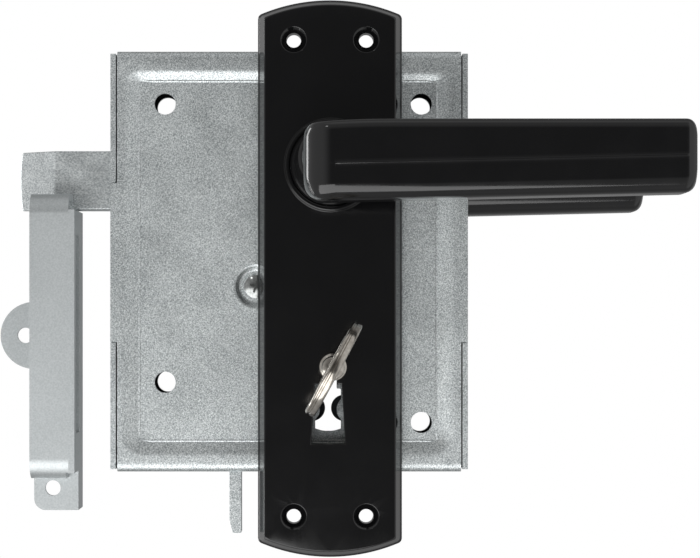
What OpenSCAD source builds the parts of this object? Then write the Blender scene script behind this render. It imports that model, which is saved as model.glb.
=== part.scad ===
// Rim lock with two lever handles, a long plate, a key and a loose keeper.
// X runs from the door's edge inwards, Y from the plate's side to the case's back, Z up.
// The origin is the spindle's axis on the plane of the case's rim, which lies against the door.

/* [Case] */
// Width of the case over its side walls
case_w = 106.6; // [104:0.2:112]
// Height of the case
case_h = 125.5; // [124:0.5:132]
// Depth of the case from its rim to its back
case_d = 16; // [15.8:0.1:17]
// Distance from the case's left wall to the spindle's axis
backset = 65.75; // [65:0.05:68]
// Height of the case above the spindle's axis
case_above = 34.5; // [34.2:0.1:36]
// Thickness of the tray's sheet
tray_t = 1.6; // [1.4:0.1:1.8]
// Thickness of the cover's sheet
cover_t = 1.2; // [1:0.1:1.4]
// Depth of the cover's pressed-in panel under its rim
panel_h = 1.5; // [1.2:0.1:1.8]
// Width of the flat rim and the slope round the panel
panel_inset = 9.3; // [8:0.1:11]
// Width of the slope between the rim and the panel
panel_slope = 4; // [3:0.1:5]
// Gap between the cover and the tray's side walls
cover_gap = 0.4; // [0.2:0.1:0.6]
// Radius of the case's four screw holes
case_hole_r = 3.15; // [2.5:0.05:3.5]
// Distance from the left wall to the left screw holes
case_hole_left = 16.25; // [15:0.25:17]
// Distance from the right wall to the right screw holes
case_hole_right = 13.85; // [13:0.05:14.5]
// Height of the upper screw holes over the spindle
case_hole_up = 18.8; // [18.5:0.1:20]
// Depth of the lower left screw hole under the spindle
case_hole_down_left = 64.3; // [62:0.1:68]
// Depth of the lower right screw hole under the spindle
case_hole_down_right = 76.3; // [74:0.1:78]

/* [Latch] */
// Height of the latch bolt's head
latch_h = 17.6; // [16:0.1:18.5]
// Height of the latch's top over the spindle
latch_up = 4.9; // [4.5:0.1:5.2]
// Length of latch that stands out of the case
latch_out = 28.15; // [26:0.05:30]
// Thickness of the latch bolt's head
latch_t = 10; // [8:0.1:10.2]
// Length of the bevelled nose
latch_bevel = 11.1; // [8:0.1:14]
// Travel of the latch
latch_travel = 24.5; // [20:0.5:24.5]

/* [Dead bolt] */
// Height of the dead bolt
bolt_h = 15; // [13:0.5:16]
// Thickness of the dead bolt's head
bolt_t = 8; // [7:0.1:8.5]
// Depth of the dead bolt's top under the spindle
bolt_down = 28; // [27.5:0.1:28.5]
// Throw of the dead bolt
bolt_throw = 9; // [7:0.5:9]

/* [Handles] */
// Side of the square spindle
spindle_w = 8; // [7:0.5:9]
// Length of a lever from the spindle's axis to its tip
lever_l = 100.5; // [90:0.5:120]
// Length of the lever's bar behind the spindle's axis
lever_back = 7.9; // [7:0.1:9]
// Height of the lever's top over the spindle
lever_up = 9.6; // [8.5:0.1:11]
// Depth of the lever's root under the spindle
lever_down = 13.2; // [12:0.1:14]
// Rise of the lever's underside from its root to its tip
lever_rise = 2.5; // [0:0.1:4]
// Thickness of the lever's bar
lever_t = 18; // [15:0.5:20]
// Distance from the case face to the outer lever's front
lever_out = 57; // [54:0.5:62]
// Distance from the case's back to the inner lever's far side
lever_in = 52; // [49:0.5:56]
// Radius of the lever's round journal
journal_r = 12.1; // [11:0.1:12.5]
// Radius of the bend where the lever's bar meets its neck
elbow_r = 9; // [6:0.5:10]

/* [Long plate] */
// Width of the long plate
plate_w = 42.8; // [40:0.2:46]
// Height of the long plate
plate_h = 165.5; // [160:0.5:172]
// Thickness of the long plate
plate_t = 7; // [6:0.1:8]
// Height of the plate's middle over the spindle
plate_mid = -33.4; // [-35:0.1:-32]
// Radius of the plate's arched ends
plate_end_r = 53; // [48:1:60]
// Width of the slope round the plate's face
plate_slope = 2.2; // [1:0.1:2.5]
// Thickness of the plate's rim, below the slope
plate_rim = 1.4; // [1:0.1:2]
// Wall of the plate's hollow back
plate_wall = 2.6; // [2:0.1:3]
// Distance between the plate's screw holes across
plate_hole_x = 21.4; // [20:0.2:24]
// Distance between the plate's screw holes up and down
plate_hole_z = 140.8; // [136:0.2:144]
// Radius of the plate's screw holes
plate_hole_r = 2.15; // [1.8:0.05:2.4]

/* [Key] */
// Distance from the spindle down to the key's axis
key_down = 59.3; // [59:0.1:60]
// Radius that the key's bit reaches
bit_r = 19; // [18:0.1:19.2]
// Thickness of the key's bit
bit_t = 2.4; // [2:0.1:2.4]
// Radius of the key's shank
shank_r = 3.2; // [2.8:0.1:3.3]
// Diameter of the key's bow
bow_d = 29; // [26:0.5:32]
// Thickness of the key's bow
bow_t = 2.8; // [2.2:0.1:3.2]
// Turn of the key away from upright as the photograph shows it
key_turn = 28.3; // [20:0.1:36]

/* [Snib] */
// Thickness of the snib's finger tab
tab_t = 3.5; // [3:0.1:4]
// Length of tab under the case
tab_l = 18.6; // [14:0.1:22]
// Travel of the snib
snib_travel = 8; // [5:0.5:8]

/* [Keeper] */
// Height of the keeper
keeper_h = 93.9; // [90:0.1:96]
// Width of the keeper's box
keeper_w = 13.2; // [12.5:0.1:14]
// Thickness of the keeper's sheet
keeper_t = 1.8; // [1.5:0.1:2]
// Gap between the latch's tip side and the keeper's side wall
keeper_gap = 9.55; // [9.3:0.05:12]

/* [Hidden] */
$fn = 48;

// Colours
zinc = [0.66, 0.68, 0.68];
zinc_light = [0.73, 0.75, 0.75];
steel = [0.60, 0.62, 0.64];
bright = [0.80, 0.81, 0.80];
black = [0.09, 0.09, 0.09];
brass = [0.72, 0.60, 0.36];

// Clearances: running fits, sliding gaps and a cutter's overrun
run = 0.1;
slide = 0.3;
over = 1;

// Case, from its driving sizes
case_x0 = -backset;
case_x1 = case_w - backset;
case_z1 = case_above;
case_z0 = case_above - case_h;
panel_back = panel_h + cover_t;
back_y = case_d - tray_t;
bend_r = 2.4;
wall_y = 0.3;
tray_step = 0.8;
cover_x0 = case_x0 + tray_t + cover_gap;
cover_x1 = case_x1 - tray_t - cover_gap;
lap_z1 = -4.9;
lap_z0 = -52.3;
hole_left_x = case_x0 + case_hole_left;
hole_right_x = case_x1 - case_hole_right;
case_holes = [[hole_left_x, case_hole_up], [hole_right_x, case_hole_up],
    [hole_left_x, -case_hole_down_left], [hole_right_x, -case_hole_down_right]];

// Follower: hub, disc and an arm that leans towards the latch
hub_r = 8.5;
disc_r = 12;
disc_y0 = 4;
disc_y1 = 11;
arm_w = 6;
arm_lean = 25;
arm_r = case_above - 5.5;

// Latch: head, tail plate behind the follower and a lug in front of the arm
latch_x0 = case_x0 - latch_out;
latch_x1 = case_x0 + 21.75;
latch_z1 = latch_up;
latch_z0 = latch_up - latch_h;
latch_y1 = back_y - 0.7;
latch_y0 = latch_y1 - latch_t;
latch_tip_r = 60;
latch_tip_t = 2.4;
latch_drop = 0.6;
tail_t = 2;
tail_y0 = latch_y1 - tail_t;
tail_half = 14;
tail_lap = 8;
window_half = hub_r + 0.4;
tail_x1 = window_half + 4.4;
lug_t = 2;
lug_z0 = arm_r * cos(arm_lean) - 0.8;
lug_z1 = case_above - 4;
lug_x0 = -arm_r * sin(arm_lean) + arm_w / 2 / cos(arm_lean) + 0.85;
strap_x0 = lug_x0 - 4;
strap_x1 = hole_right_x - case_hole_r - latch_travel - 0.5;

// Latch spring over the head, between a tab of the tail and a fixed stop
spring_z = 9;
spring_y = (disc_y0 + disc_y1) / 2;
spring_r = 2.4;
spring_wire = 0.7;
spring_turns = 8;
stop_t = 1.5;
stop_x1 = -14;
stop_x0 = stop_x1 - stop_t;
stop_z0 = 5.5;
stop_z1 = 20;
tab_x0 = latch_x1 - 4;
tab_x1 = tab_x0 + 2;

// Cover screw and post
post_x = -22.4;
post_z = -bolt_down - 7.7;
post_r = 3;
dimple_r = 6.6;
dimple_floor_r = 4.6;
dimple_y = panel_h + 1.15;
screw_head_r = 3.5;
screw_head_h = 1;
cross_l = 3.8;
cross_w = 0.7;
screw_r = 1.9;
screw_l = 8;

// Key
key_x = 0.5;
key_z = -key_down;
bit_y0 = 3.4;
bit_y1 = 11.4;
key_end_y = case_d - 0.5;
collar_r = 3.9;
collar_y1 = -plate_t - 13;
collar_l = 5;
bow_mid_y = -51;
bow_hole_d = 21;
slot_x = -0.8;
slot_w = 7.8;
slot_l = bit_r + 1.1;
slot_top = 6.9;
neck_z = key_z - 13.1;
neck_r = 4;
step_z = key_z - 9.4;
step_h = 2;
ward_y0 = case_d - 6.7;
ward_w = 1.2;
ward_d = 7;
bow_root = 2.5;
cover_neck = 5;
back_neck = 1.8;

// Dead bolt: head, tail plate with slots and a talon for the key's bit
bolt_z1 = -bolt_down;
bolt_z0 = bolt_z1 - bolt_h;
bolt_x0 = case_x0 + 0.1;
bolt_x1 = case_x0 + 19.5;
bolt_y1 = back_y - 1.9;
bolt_y0 = bolt_y1 - bolt_t;
bolt_tail_t = 3;
bolt_tail_y0 = bolt_y0 + (bolt_t - bolt_tail_t) / 2;
bolt_tail_y1 = bolt_tail_y0 + bolt_tail_t;
bolt_lap = 7;
bolt_per_deg = bolt_throw / 360;
talon_z = key_z + bit_r + 0.5;
talon_half = acos((bolt_z0 - key_z) / bit_r);
talon_mid = 180 + key_turn;
talon_reach = bit_r * sin(talon_half) + bit_t / 2 + 0.4;
talon_x0 = key_x - talon_reach + bolt_per_deg * (talon_mid + talon_half);
talon_x1 = key_x + talon_reach + bolt_per_deg * (talon_mid - talon_half);
guide_x = talon_x0 + 9;
guide_z = bolt_z1 - 5;
guide_r = 1.5;
bolt_tail_x1 = talon_x1 + 4;

// Tumbler over the bolt's tail
tumbler_t = 1.5;
tumbler_y0 = bit_y0 + 0.6;
tumbler_y1 = tumbler_y0 + tumbler_t;
tumbler_inset = 8.85;
tumbler_x = case_x1 - tumbler_inset;
tumbler_z = guide_z;
tumbler_eye_r = 4.4;
tumbler_pin_r = 2;
tumbler_x0 = -17;
tumbler_z1 = bolt_z1 + 4;
belly_z = key_z + bit_r + 0.4;
belly_cut = 9;
belly_half = bit_r - belly_cut;
nose_h = 8;
stub_x = tumbler_x0 + 1;
stub_w = 4;
notch_d = 1.5;
notch_gap = 0.4;

// Tumbler spring
anchor_in = 1.2;
anchor_rise = 12.6;
anchor_x = tumbler_x + anchor_in;
anchor_z = tumbler_z + anchor_rise;
anchor_r = 1.5;
leaf_t = 0.5;
leaf_y0 = tumbler_y0;
leaf_w = 3;
leaf_x0 = -4;
leaf_tip = 4;
leaf_curl = 1;

// Snib: a strap beside the dead bolt, a foot bar and the finger tab
snib_t = 2;
snib_y1 = back_y - 0.6;
snib_y0 = snib_y1 - snib_t;
snib_tab_x0 = -30.4;
snib_tab_x1 = snib_tab_x0 + tab_t;
snib_tab_y0 = 4.5;
snib_strap_x0 = -43;
snib_strap_x1 = -37;
snib_top = -16.5;
snib_head_z = snib_top - 10;
snib_bar_z1 = case_z0 + 15;
snib_bar_z0 = case_z0 + 5;
snib_pin_r = 1.5;
snib_hook = 1.5;
snib_pins = [[snib_tab_x0 - 2, snib_top - 5], [snib_tab_x0 - 1, snib_bar_z0 + 5]];
snib_tip_z = case_z0 - tab_l;
snib_bent = 4;

// Long plate
plate_x = -0.3;
plate_z1 = plate_mid + plate_h / 2;
plate_z0 = plate_mid - plate_h / 2;
ring_r = 13.7;
ring_h = 1.6;
plate_slot_x = plate_x - 0.5;
plate_slot_z1 = key_z - 5.4;
plate_slot_w1 = 7.9;
plate_slot_w0 = 10;
plate_slot_z0 = key_z - 23;
slot_wall = 2.5;
sink_r = 3.8;
sink_h = 1.7;
boss_r = 5;
rib_t = 1.6;
rib_zs = [plate_mid - 6, plate_z1 - 24.75];

// Levers
neck_bar_r = 8.6;
neck_root = 6;
neck_foot_y = -plate_t - ring_h - 1.5;
top_corner_r = 3.3;
root_corner_r = 4.5;
tip_corner_r = 2.5;
grip_y0 = -lever_out;
grip_y1 = lever_t - lever_out;
journal_y = -2.6;
socket_l = 36;
lever_slope = atan(lever_rise / (lever_l + lever_back));
pin_r = 1.5;
pin_l = 17;
pin_y = -22;

// Keeper
keeper_x1 = case_x0 - keeper_gap;
keeper_x0 = keeper_x1 - keeper_w;
keeper_z1 = -8.5;
keeper_z0 = keeper_z1 - keeper_h;
keeper_box_h = 84;
keeper_box_z0 = keeper_z1 - keeper_box_h;
keeper_cut = 20;
keeper_front = -11.2;
keeper_foot_y = 0.5;
keeper_back = 13.4;
keeper_roll_r = 6;
keeper_hole_r = 2.3;
keeper_ear_r = 10;
keeper_ear_z = -50.3;
keeper_ear_hole_x = keeper_x0 - 2.7;
keeper_foot_hole = [keeper_x0 + 5.6, keeper_z0 + 6.6];
keeper_win_z1 = -20.6;
keeper_win_z0 = -79.1;
keeper_win_y0 = -6;
keeper_win_y1 = 3;

// A box from its corners
module box(x0, x1, y0, y1, z0, z1) {
    translate([x0, y0, z0]) cube([x1 - x0, y1 - y0, z1 - z0]);
}

// An outline in X and Z, extruded along Y
module along_y(y0, y1) {
    translate([0, y1, 0]) rotate([90, 0, 0]) linear_extrude(y1 - y0) children();
}

// An outline in Y and Z, extruded along X
module along_x(x0, x1) {
    translate([x0, 0, 0]) rotate([90, 0, 90]) linear_extrude(x1 - x0) children();
}

// An outline in X and Y, extruded along Z
module along_z(z0, z1) {
    translate([0, 0, z0]) linear_extrude(z1 - z0) children();
}

// A round bar along Y, or a cone with a second radius
module rod(x, z, y0, y1, r, r_end) {
    r_far = is_undef(r_end) ? r : r_end;
    translate([x, y0, z]) rotate([-90, 0, 0]) cylinder(h = y1 - y0, r1 = r, r2 = r_far);
}

// A flat rectangle from its corners
module rect(x0, x1, y0, y1) {
    translate([x0, y0]) square([x1 - x0, y1 - y0]);
}

// A flat rectangle with round corners
module round_rect(x0, x1, y0, y1, r) {
    rect(x0 + r, x1 - r, y0, y1);
    rect(x0, x1, y0 + r, y1 - r);
    for (x = [x0 + r, x1 - r], y = [y0 + r, y1 - r]) translate([x, y]) circle(r);
}

// A flat slot with round ends, from one centre to the other along X
module slot(xa, xb, y, r) {
    rect(xa, xb, y - r, y + r);
    for (x = [xa, xb]) translate([x, y]) circle(r);
}

// A sheet bent to a channel, open towards lower y, between the ends a and b
module channel(a, b, y_open, y_closed, t, r) {
    difference() {
        round_rect(a, b, y_open - r - over, y_closed, r);
        round_rect(a + t, b - t, y_open - r - 2 * over, y_closed - t, r - t);
        rect(a - over, b + over, y_open - r - 2 * over, y_open);
    }
}

// The block that the panel's punch takes up, deeper by a sheet's thickness for the back
module panel_block(deeper, reach) {
    flat_x0 = case_x0 + panel_inset;
    flat_x1 = case_x1 - panel_inset;
    flat_z0 = case_z0 + panel_inset;
    flat_z1 = case_z1 - panel_inset;
    low_y = deeper + panel_h;
    intersection() {
        along_z(case_z0, case_z1) polygon([[flat_x0, low_y], [flat_x1, low_y],
            [flat_x1 + panel_slope, deeper], [flat_x1 + panel_slope, deeper - reach],
            [flat_x0 - panel_slope, deeper - reach], [flat_x0 - panel_slope, deeper]]);
        along_x(case_x0, case_x1) polygon([[low_y, flat_z0], [low_y, flat_z1],
            [deeper, flat_z1 + panel_slope], [deeper - reach, flat_z1 + panel_slope],
            [deeper - reach, flat_z0 - panel_slope], [deeper, flat_z0 - panel_slope]]);
    }
}

// The shank's round hole and the way for the bit from it to the slot below
module shank_hole(z_end) {
    translate([key_x, key_z]) circle(shank_r + slide);
    rect(key_x - bit_t / 2 - run, key_x + bit_t / 2 + run, z_end, key_z);
}

// The keyhole with two arcs that narrow it half way down
module keyhole(neck) {
    shank_hole(key_z - slot_top - over);
    difference() {
        rect(slot_x - slot_w / 2, slot_x + slot_w / 2, key_z - slot_l, key_z - slot_top);
        for (side = [-1, 1])
            translate([slot_x + side * (neck / 2 + neck_r), neck_z]) circle(neck_r);
        rect(slot_x - slot_w / 2 - over, slot_x - cover_neck / 2, step_z, step_z + step_h);
    }
}

// Through holes for the case screws
module case_screw_holes() {
    for (p = case_holes) rod(p[0], p[1], -over, case_d + over, case_hole_r);
}

// Back plate with the two side walls bent from it
module case_back() {
    color(zinc) difference() {
        along_z(case_z0 + tray_step, case_z1 - tray_step)
            channel(case_x0, case_x1, wall_y, case_d, tray_t, bend_r);
        for (x = [case_x0 - over, case_x1 - tray_t - cover_gap])
            box(x, x + tray_t + cover_gap + over, 0, cover_t + 0.1, lap_z0 - slide, lap_z1 + slide);
        box(case_x0 - over, case_x0 + tray_t + over, latch_y0 - slide, latch_y1 + slide,
            latch_z0 - slide, latch_z1 + slide);
        box(case_x0 - over, case_x0 + tray_t + over, bolt_y0 - slide, bolt_y1 + slide,
            bolt_z0 - slide, bolt_z1 + slide);
        rod(0, 0, back_y - over, case_d + over, hub_r + run);
        along_y(back_y - over, case_d + over) keyhole(back_neck);
        case_screw_holes();
    }
}

// Cover with a pressed-in panel, top and bottom walls, two side tabs and the screw's dimple
module case_cover() {
    wall_end = back_y - 0.1;
    color(zinc_light) difference() {
        union() {
            along_x(cover_x0, cover_x1) mirror([1, 0])
                channel_on_side(case_z0, case_z1, -wall_end, 0, cover_t, bend_r - 0.4);
            panel_block(cover_t, cover_t);
            box(case_x0, case_x1, 0, cover_t, lap_z0, lap_z1);
            rod(post_x, post_z, panel_h + 0.2, dimple_y + cover_t, dimple_r, dimple_floor_r + 0.8);
        }
        panel_block(0, over);
        rod(post_x, post_z, panel_h - 0.01, dimple_y, dimple_r, dimple_floor_r);
        rod(post_x, post_z, 0, dimple_y + cover_t + over, screw_r + run);
        rod(0, 0, -over, panel_back + over, hub_r + run);
        along_y(-over, panel_back + over) keyhole(cover_neck);
        case_screw_holes();
        box(snib_tab_x0 - slide, snib_tab_x1 + snib_travel + slide, snib_tab_y0 - slide, case_d,
            case_z0 - over, case_z0 + cover_t + over);
    }
}

// The channel turned so that its ends lie along the second axis
module channel_on_side(a, b, y_open, y_closed, t, r) {
    rotate(90) mirror([0, 1]) channel(a, b, y_open, y_closed, t, r);
}

// Domed cross-head screw that holds the cover on its post
module cover_screw() {
    dome_r = (screw_head_r * screw_head_r + screw_head_h * screw_head_h) / 2 / screw_head_h;
    top_y = dimple_y - screw_head_h;
    color(bright) difference() {
        union() {
            intersection() {
                translate([post_x, top_y + dome_r, post_z]) sphere(dome_r, $fn = 96);
                rod(post_x, post_z, top_y - over, dimple_y, screw_head_r);
            }
            rod(post_x, post_z, dimple_y, dimple_y + screw_l, screw_r);
        }
        for (turn = [20, 110]) translate([post_x, 0, post_z]) rotate([0, turn, 0])
            box(-cross_l / 2, cross_l / 2, top_y - over, top_y + cross_w, -cross_w / 2, cross_w / 2);
    }
}

// Post between the cover and the back plate, which also guides the dead bolt
module cover_post() {
    color(steel) difference() {
        rod(post_x, post_z, dimple_y + cover_t, back_y, post_r);
        rod(post_x, post_z, 0, dimple_y + screw_l + 0.5, screw_r);
    }
}

// Pin that guides the tail of the dead bolt
module bolt_guide_pin() {
    color(steel) union() {
        rod(guide_x, guide_z, bolt_tail_y0 - 0.5, back_y, guide_r);
        rod(guide_x, guide_z, bolt_tail_y1 + 0.6, back_y, guide_r + 1);
    }
}

// Two pins in the snib's slots
module snib_guide_pins() {
    color(steel) for (p = snib_pins) {
        rod(p[0], p[1], snib_y0 - 0.4, back_y, snib_pin_r);
        rod(p[0], p[1], snib_y0 - 1.2, snib_y0 - 0.4, snib_pin_r + 1);
    }
}

// Pin that carries the tumbler
module tumbler_pin() {
    color(steel) union() {
        rod(tumbler_x, tumbler_z, tumbler_y0 - 0.8, back_y, tumbler_pin_r);
        rod(tumbler_x, tumbler_z, tumbler_y1 + 0.3, back_y, tumbler_pin_r + 1.2);
    }
}

// Pin that the tumbler's spring is hooked round
module spring_anchor() {
    color(steel) rod(anchor_x, anchor_z, leaf_y0 - 0.6, back_y, anchor_r);
}

// Bracket that the latch spring pushes against
module spring_stop() {
    color(zinc) union() {
        box(stop_x0, stop_x1, disc_y0, tail_y0 - 0.4, stop_z0, stop_z1);
        box(stop_x0, stop_x1, disc_y0, back_y, tail_half + 0.8, stop_z1);
        box(stop_x0 - 5, stop_x1, back_y - 1.2, back_y, tail_half + 0.8, stop_z1);
    }
}

// Half of the long plate's block: its sloping sides and one sloping arched end
module plate_half(up, inset, y_back) {
    z_end = up ? plate_z1 : plate_z0;
    half_w = plate_w / 2 - inset;
    centre_z = up ? z_end - plate_end_r : z_end + plate_end_r;
    end_r = plate_end_r - inset;
    y_front = inset - plate_t;
    y_edge = -plate_rim;
    intersection() {
        along_z(min(plate_mid, z_end), max(plate_mid, z_end))
            polygon([[plate_x - half_w + plate_slope, y_front], [plate_x + half_w - plate_slope, y_front],
                [plate_x + half_w, y_edge], [plate_x + half_w, y_back],
                [plate_x - half_w, y_back], [plate_x - half_w, y_edge]]);
        union() {
            rod(plate_x, centre_z, y_front, y_edge, end_r - plate_slope, end_r);
            rod(plate_x, centre_z, y_edge, y_back, end_r);
        }
    }
}

// The keyhole in the long plate, wider towards its foot
module plate_keyhole() {
    shank_hole(plate_slot_z1 - over);
    translate([plate_slot_x, 0]) polygon([[-plate_slot_w1 / 2, plate_slot_z1],
        [plate_slot_w1 / 2, plate_slot_z1], [plate_slot_w0 / 2, plate_slot_z0],
        [-plate_slot_w0 / 2, plate_slot_z0]]);
}

// Long plate with a hollow back, hub ring, countersunk holes and keyhole
module outer_plate() {
    holes = [for (sx = [-1, 1], sz = [-1, 1])
        [plate_x + sx * plate_hole_x / 2, plate_mid + sz * plate_hole_z / 2]];
    color(black) difference() {
        union() {
            for (up = [true, false]) plate_half(up, 0, 0);
            rod(0, 0, -plate_t - ring_h, -plate_t + 0.5, ring_r);
        }
        difference() {
            for (up = [true, false]) plate_half(up, plate_wall, over);
            for (p = holes) rod(p[0], p[1], -plate_t, 0, boss_r);
            rod(0, 0, -plate_t, 0, ring_r + 1);
            box(plate_slot_x - plate_slot_w0 / 2 - slot_wall, plate_slot_x + plate_slot_w0 / 2 + slot_wall,
                -plate_t, 0, plate_slot_z0 - slot_wall, key_z + shank_r + slot_wall);
            for (z = rib_zs) box(plate_x - plate_w / 2, plate_x + plate_w / 2,
                -plate_t, -rib_t / 2, z - rib_t / 2, z + rib_t / 2);
        }
        for (p = holes) {
            rod(p[0], p[1], -plate_t - over, over, plate_hole_r);
            rod(p[0], p[1], -plate_t - 0.01, -plate_t + sink_h, sink_r, plate_hole_r);
        }
        rod(0, 0, -plate_t - 2 * over, over, journal_r + run);
        along_y(-plate_t - over, over) plate_keyhole();
    }
}

// Outline of a lever's bar: round corners and an underside that rises towards the tip
module lever_outline() {
    intersection() {
        round_rect(-lever_back, lever_l, -2 * lever_down, lever_up, top_corner_r);
        translate([-lever_back, -lever_down]) rotate(lever_slope)
            round_rect(0, (lever_l + lever_back) / cos(lever_slope) + 0.1, 0, 2 * lever_down,
                root_corner_r);
    }
}

// Plan of a lever's bar: a wide bend over the neck and small round corners at the tip
module lever_plan() {
    difference() {
        round_rect(-lever_back, lever_l, grip_y0, grip_y1 + 2 * elbow_r, elbow_r);
        rect(-lever_back - over, lever_l + over, grip_y1, grip_y1 + 3 * elbow_r);
        rect(lever_l - 2 * elbow_r, lever_l + over, grip_y0 - over, grip_y1 + over);
    }
    round_rect(0, lever_l, grip_y0, grip_y1, tip_corner_r);
}

// A lever in the outer one's place: bar, neck, journal and square socket
module lever() {
    color(black) difference() {
        union() {
            intersection() {
                along_y(grip_y0, grip_y1) lever_outline();
                along_z(-2 * lever_down, 2 * lever_up) lever_plan();
            }
            rod(0, 0, grip_y1 - neck_root, grip_y1, neck_bar_r - 0.9, neck_bar_r);
            rod(0, 0, grip_y1, neck_foot_y, neck_bar_r, journal_r);
            rod(0, 0, neck_foot_y, journal_y, journal_r);
        }
        box(-spindle_w / 2 - run, spindle_w / 2 + run, journal_y - socket_l, journal_y + over,
            -spindle_w / 2 - run, spindle_w / 2 + run);
        translate([0, pin_y, -journal_r - over])
            cylinder(h = 2 * (journal_r + over), r = pin_r + run);
    }
}

// Lever on the plate's side
module outer_lever() {
    lever();
}

// Lever on the case's side, the outer one's mirror image
module inner_lever() {
    translate([0, case_d, 0]) mirror([0, 1, 0]) translate([0, lever_out - lever_in, 0])
        intersection() {
            lever();
            box(-lever_l, 2 * lever_l, -2 * lever_out, lever_in - lever_out - slide,
                -lever_l, lever_l);
        }
}

// Square spindle through both levers and the follower
module spindle() {
    y0 = journal_y - socket_l + 1;
    y1 = case_d - journal_y + socket_l - 1 - (lever_out - lever_in);
    color(steel) difference() {
        box(-spindle_w / 2, spindle_w / 2, y0, y1, -spindle_w / 2, spindle_w / 2);
        for (y = [pin_y, case_d - pin_y - (lever_out - lever_in)])
            translate([0, y, -spindle_w]) cylinder(h = 2 * spindle_w, r = pin_r);
    }
}

// Cross pins that hold the levers on the spindle
module lever_pins() {
    color(steel) for (y = [pin_y, case_d - pin_y - (lever_out - lever_in)])
        translate([0, y, -pin_l / 2]) cylinder(h = pin_l, r = pin_r);
}

// Hub that the spindle turns, with an arm that draws the latch back
module follower() {
    color(brass) difference() {
        union() {
            rod(0, 0, 0.3, case_d - 0.3, hub_r);
            rod(0, 0, disc_y0, disc_y1, disc_r);
            rotate([0, -arm_lean, 0]) box(-arm_w / 2, arm_w / 2, disc_y0, disc_y1, 0, arm_r);
        }
        box(-spindle_w / 2 - run, spindle_w / 2 + run, -over, case_d + over,
            -spindle_w / 2 - run, spindle_w / 2 + run);
    }
}

// Bevelled head of the latch, stepped at its back for the tail plate
module latch_bolt() {
    color(steel) difference() {
        intersection() {
            along_z(latch_z0, latch_z1) polygon([[latch_x0, latch_y1], [latch_x1, latch_y1],
                [latch_x1, latch_y0], [latch_x0 + latch_bevel, latch_y0],
                [latch_x0, latch_y1 - latch_tip_t]]);
            along_y(latch_y0 - over, latch_y1 + over) intersection() {
                rect(latch_x0 - over, latch_x1 + over, latch_z0 - over, latch_z1 + over);
                union() {
                    rect(latch_x0 + latch_tip_r, latch_x1 + latch_tip_r, latch_z0, latch_z1);
                    translate([latch_x0 + latch_tip_r, (latch_z0 + latch_z1) / 2]) circle(latch_tip_r);
                }
            }
        }
        box(latch_x1 - tail_lap, latch_x1 + over, tail_y0, latch_y1 + over, latch_z0 - over, latch_z1 + over);
    }
}

// Tail plate of the latch with its window round the hub, its lug and its spring tab
module latch_tail() {
    color(zinc) union() {
        along_y(tail_y0, tail_y0 + tail_t) difference() {
            union() {
                rect(latch_x1 - tail_lap, tail_x1, -tail_half, tail_half);
                rect(strap_x0, strap_x1, tail_half - over, lug_z1);
                rect(strap_x0, lug_x0 + lug_t, lug_z0, lug_z1);
            }
            slot(-latch_travel, 0, 0, window_half);
        }
        box(lug_x0, lug_x0 + lug_t, disc_y0, tail_y0 + tail_t, lug_z0, lug_z1);
        box(tab_x0, tab_x1, spring_y - spring_r - 1, tail_y0 + tail_t, stop_z0, tail_half - 1.5);
    }
}

// Points of one ring of a helix along X
function ring_points(x, angle, wire) = [for (i = [0:5])
    let (a = 60 * i, r = spring_r + wire / 2 * cos(a))
    [x + wire / 2 * sin(a), spring_y + r * cos(angle), spring_z + r * sin(angle)]];

// Compression spring of the latch: open turns between the tail's tab and the stop
module latch_spring() {
    x0 = tab_x1 + spring_wire / 2;
    x1 = stop_x0 - spring_wire / 2;
    rings = 8 * spring_turns;
    points = [for (k = [0:rings]) each ring_points(x0 + (x1 - x0) * k / rings, 45 * k, spring_wire)];
    sides = [for (k = [0:rings - 1], i = [0:5])
        let (a = 6 * k + i, b = 6 * k + (i + 1) % 6)
        each [[a, b, a + 6], [b, b + 6, a + 6]]];
    start = [for (i = [1:4]) [0, i + 1, i]];
    finish = [for (i = [1:4]) [6 * rings, 6 * rings + i, 6 * rings + i + 1]];
    echo(latch_spring_gap_mm = (x1 - x0) / spring_turns - spring_wire);
    color(bright) polyhedron(points, concat(sides, start, finish));
}

// Head of the dead bolt
module dead_bolt() {
    color(steel) difference() {
        box(bolt_x0, bolt_x1, bolt_y0, bolt_y1, bolt_z0, bolt_z1);
        box(bolt_x1 - bolt_lap, bolt_x1 + over, bolt_tail_y0, bolt_tail_y1, bolt_z0 - over, bolt_z1 + over);
    }
}

// Tail of the dead bolt: guide slots, notches for the tumbler and the talon
module bolt_tail() {
    color(zinc) along_y(bolt_tail_y0, bolt_tail_y1) difference() {
        rect(bolt_x1 - bolt_lap, bolt_tail_x1, bolt_z0, bolt_z1);
        slot(post_x, post_x + bolt_throw, post_z, post_r + run);
        slot(guide_x, guide_x + bolt_throw, guide_z, guide_r + run);
        rect(talon_x0, talon_x1, bolt_z0 - over, talon_z);
        for (x = [stub_x, stub_x + bolt_throw])
            rect(x - notch_gap, x + stub_w + notch_gap, bolt_z1 - notch_d, bolt_z1 + over);
    }
}

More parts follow.
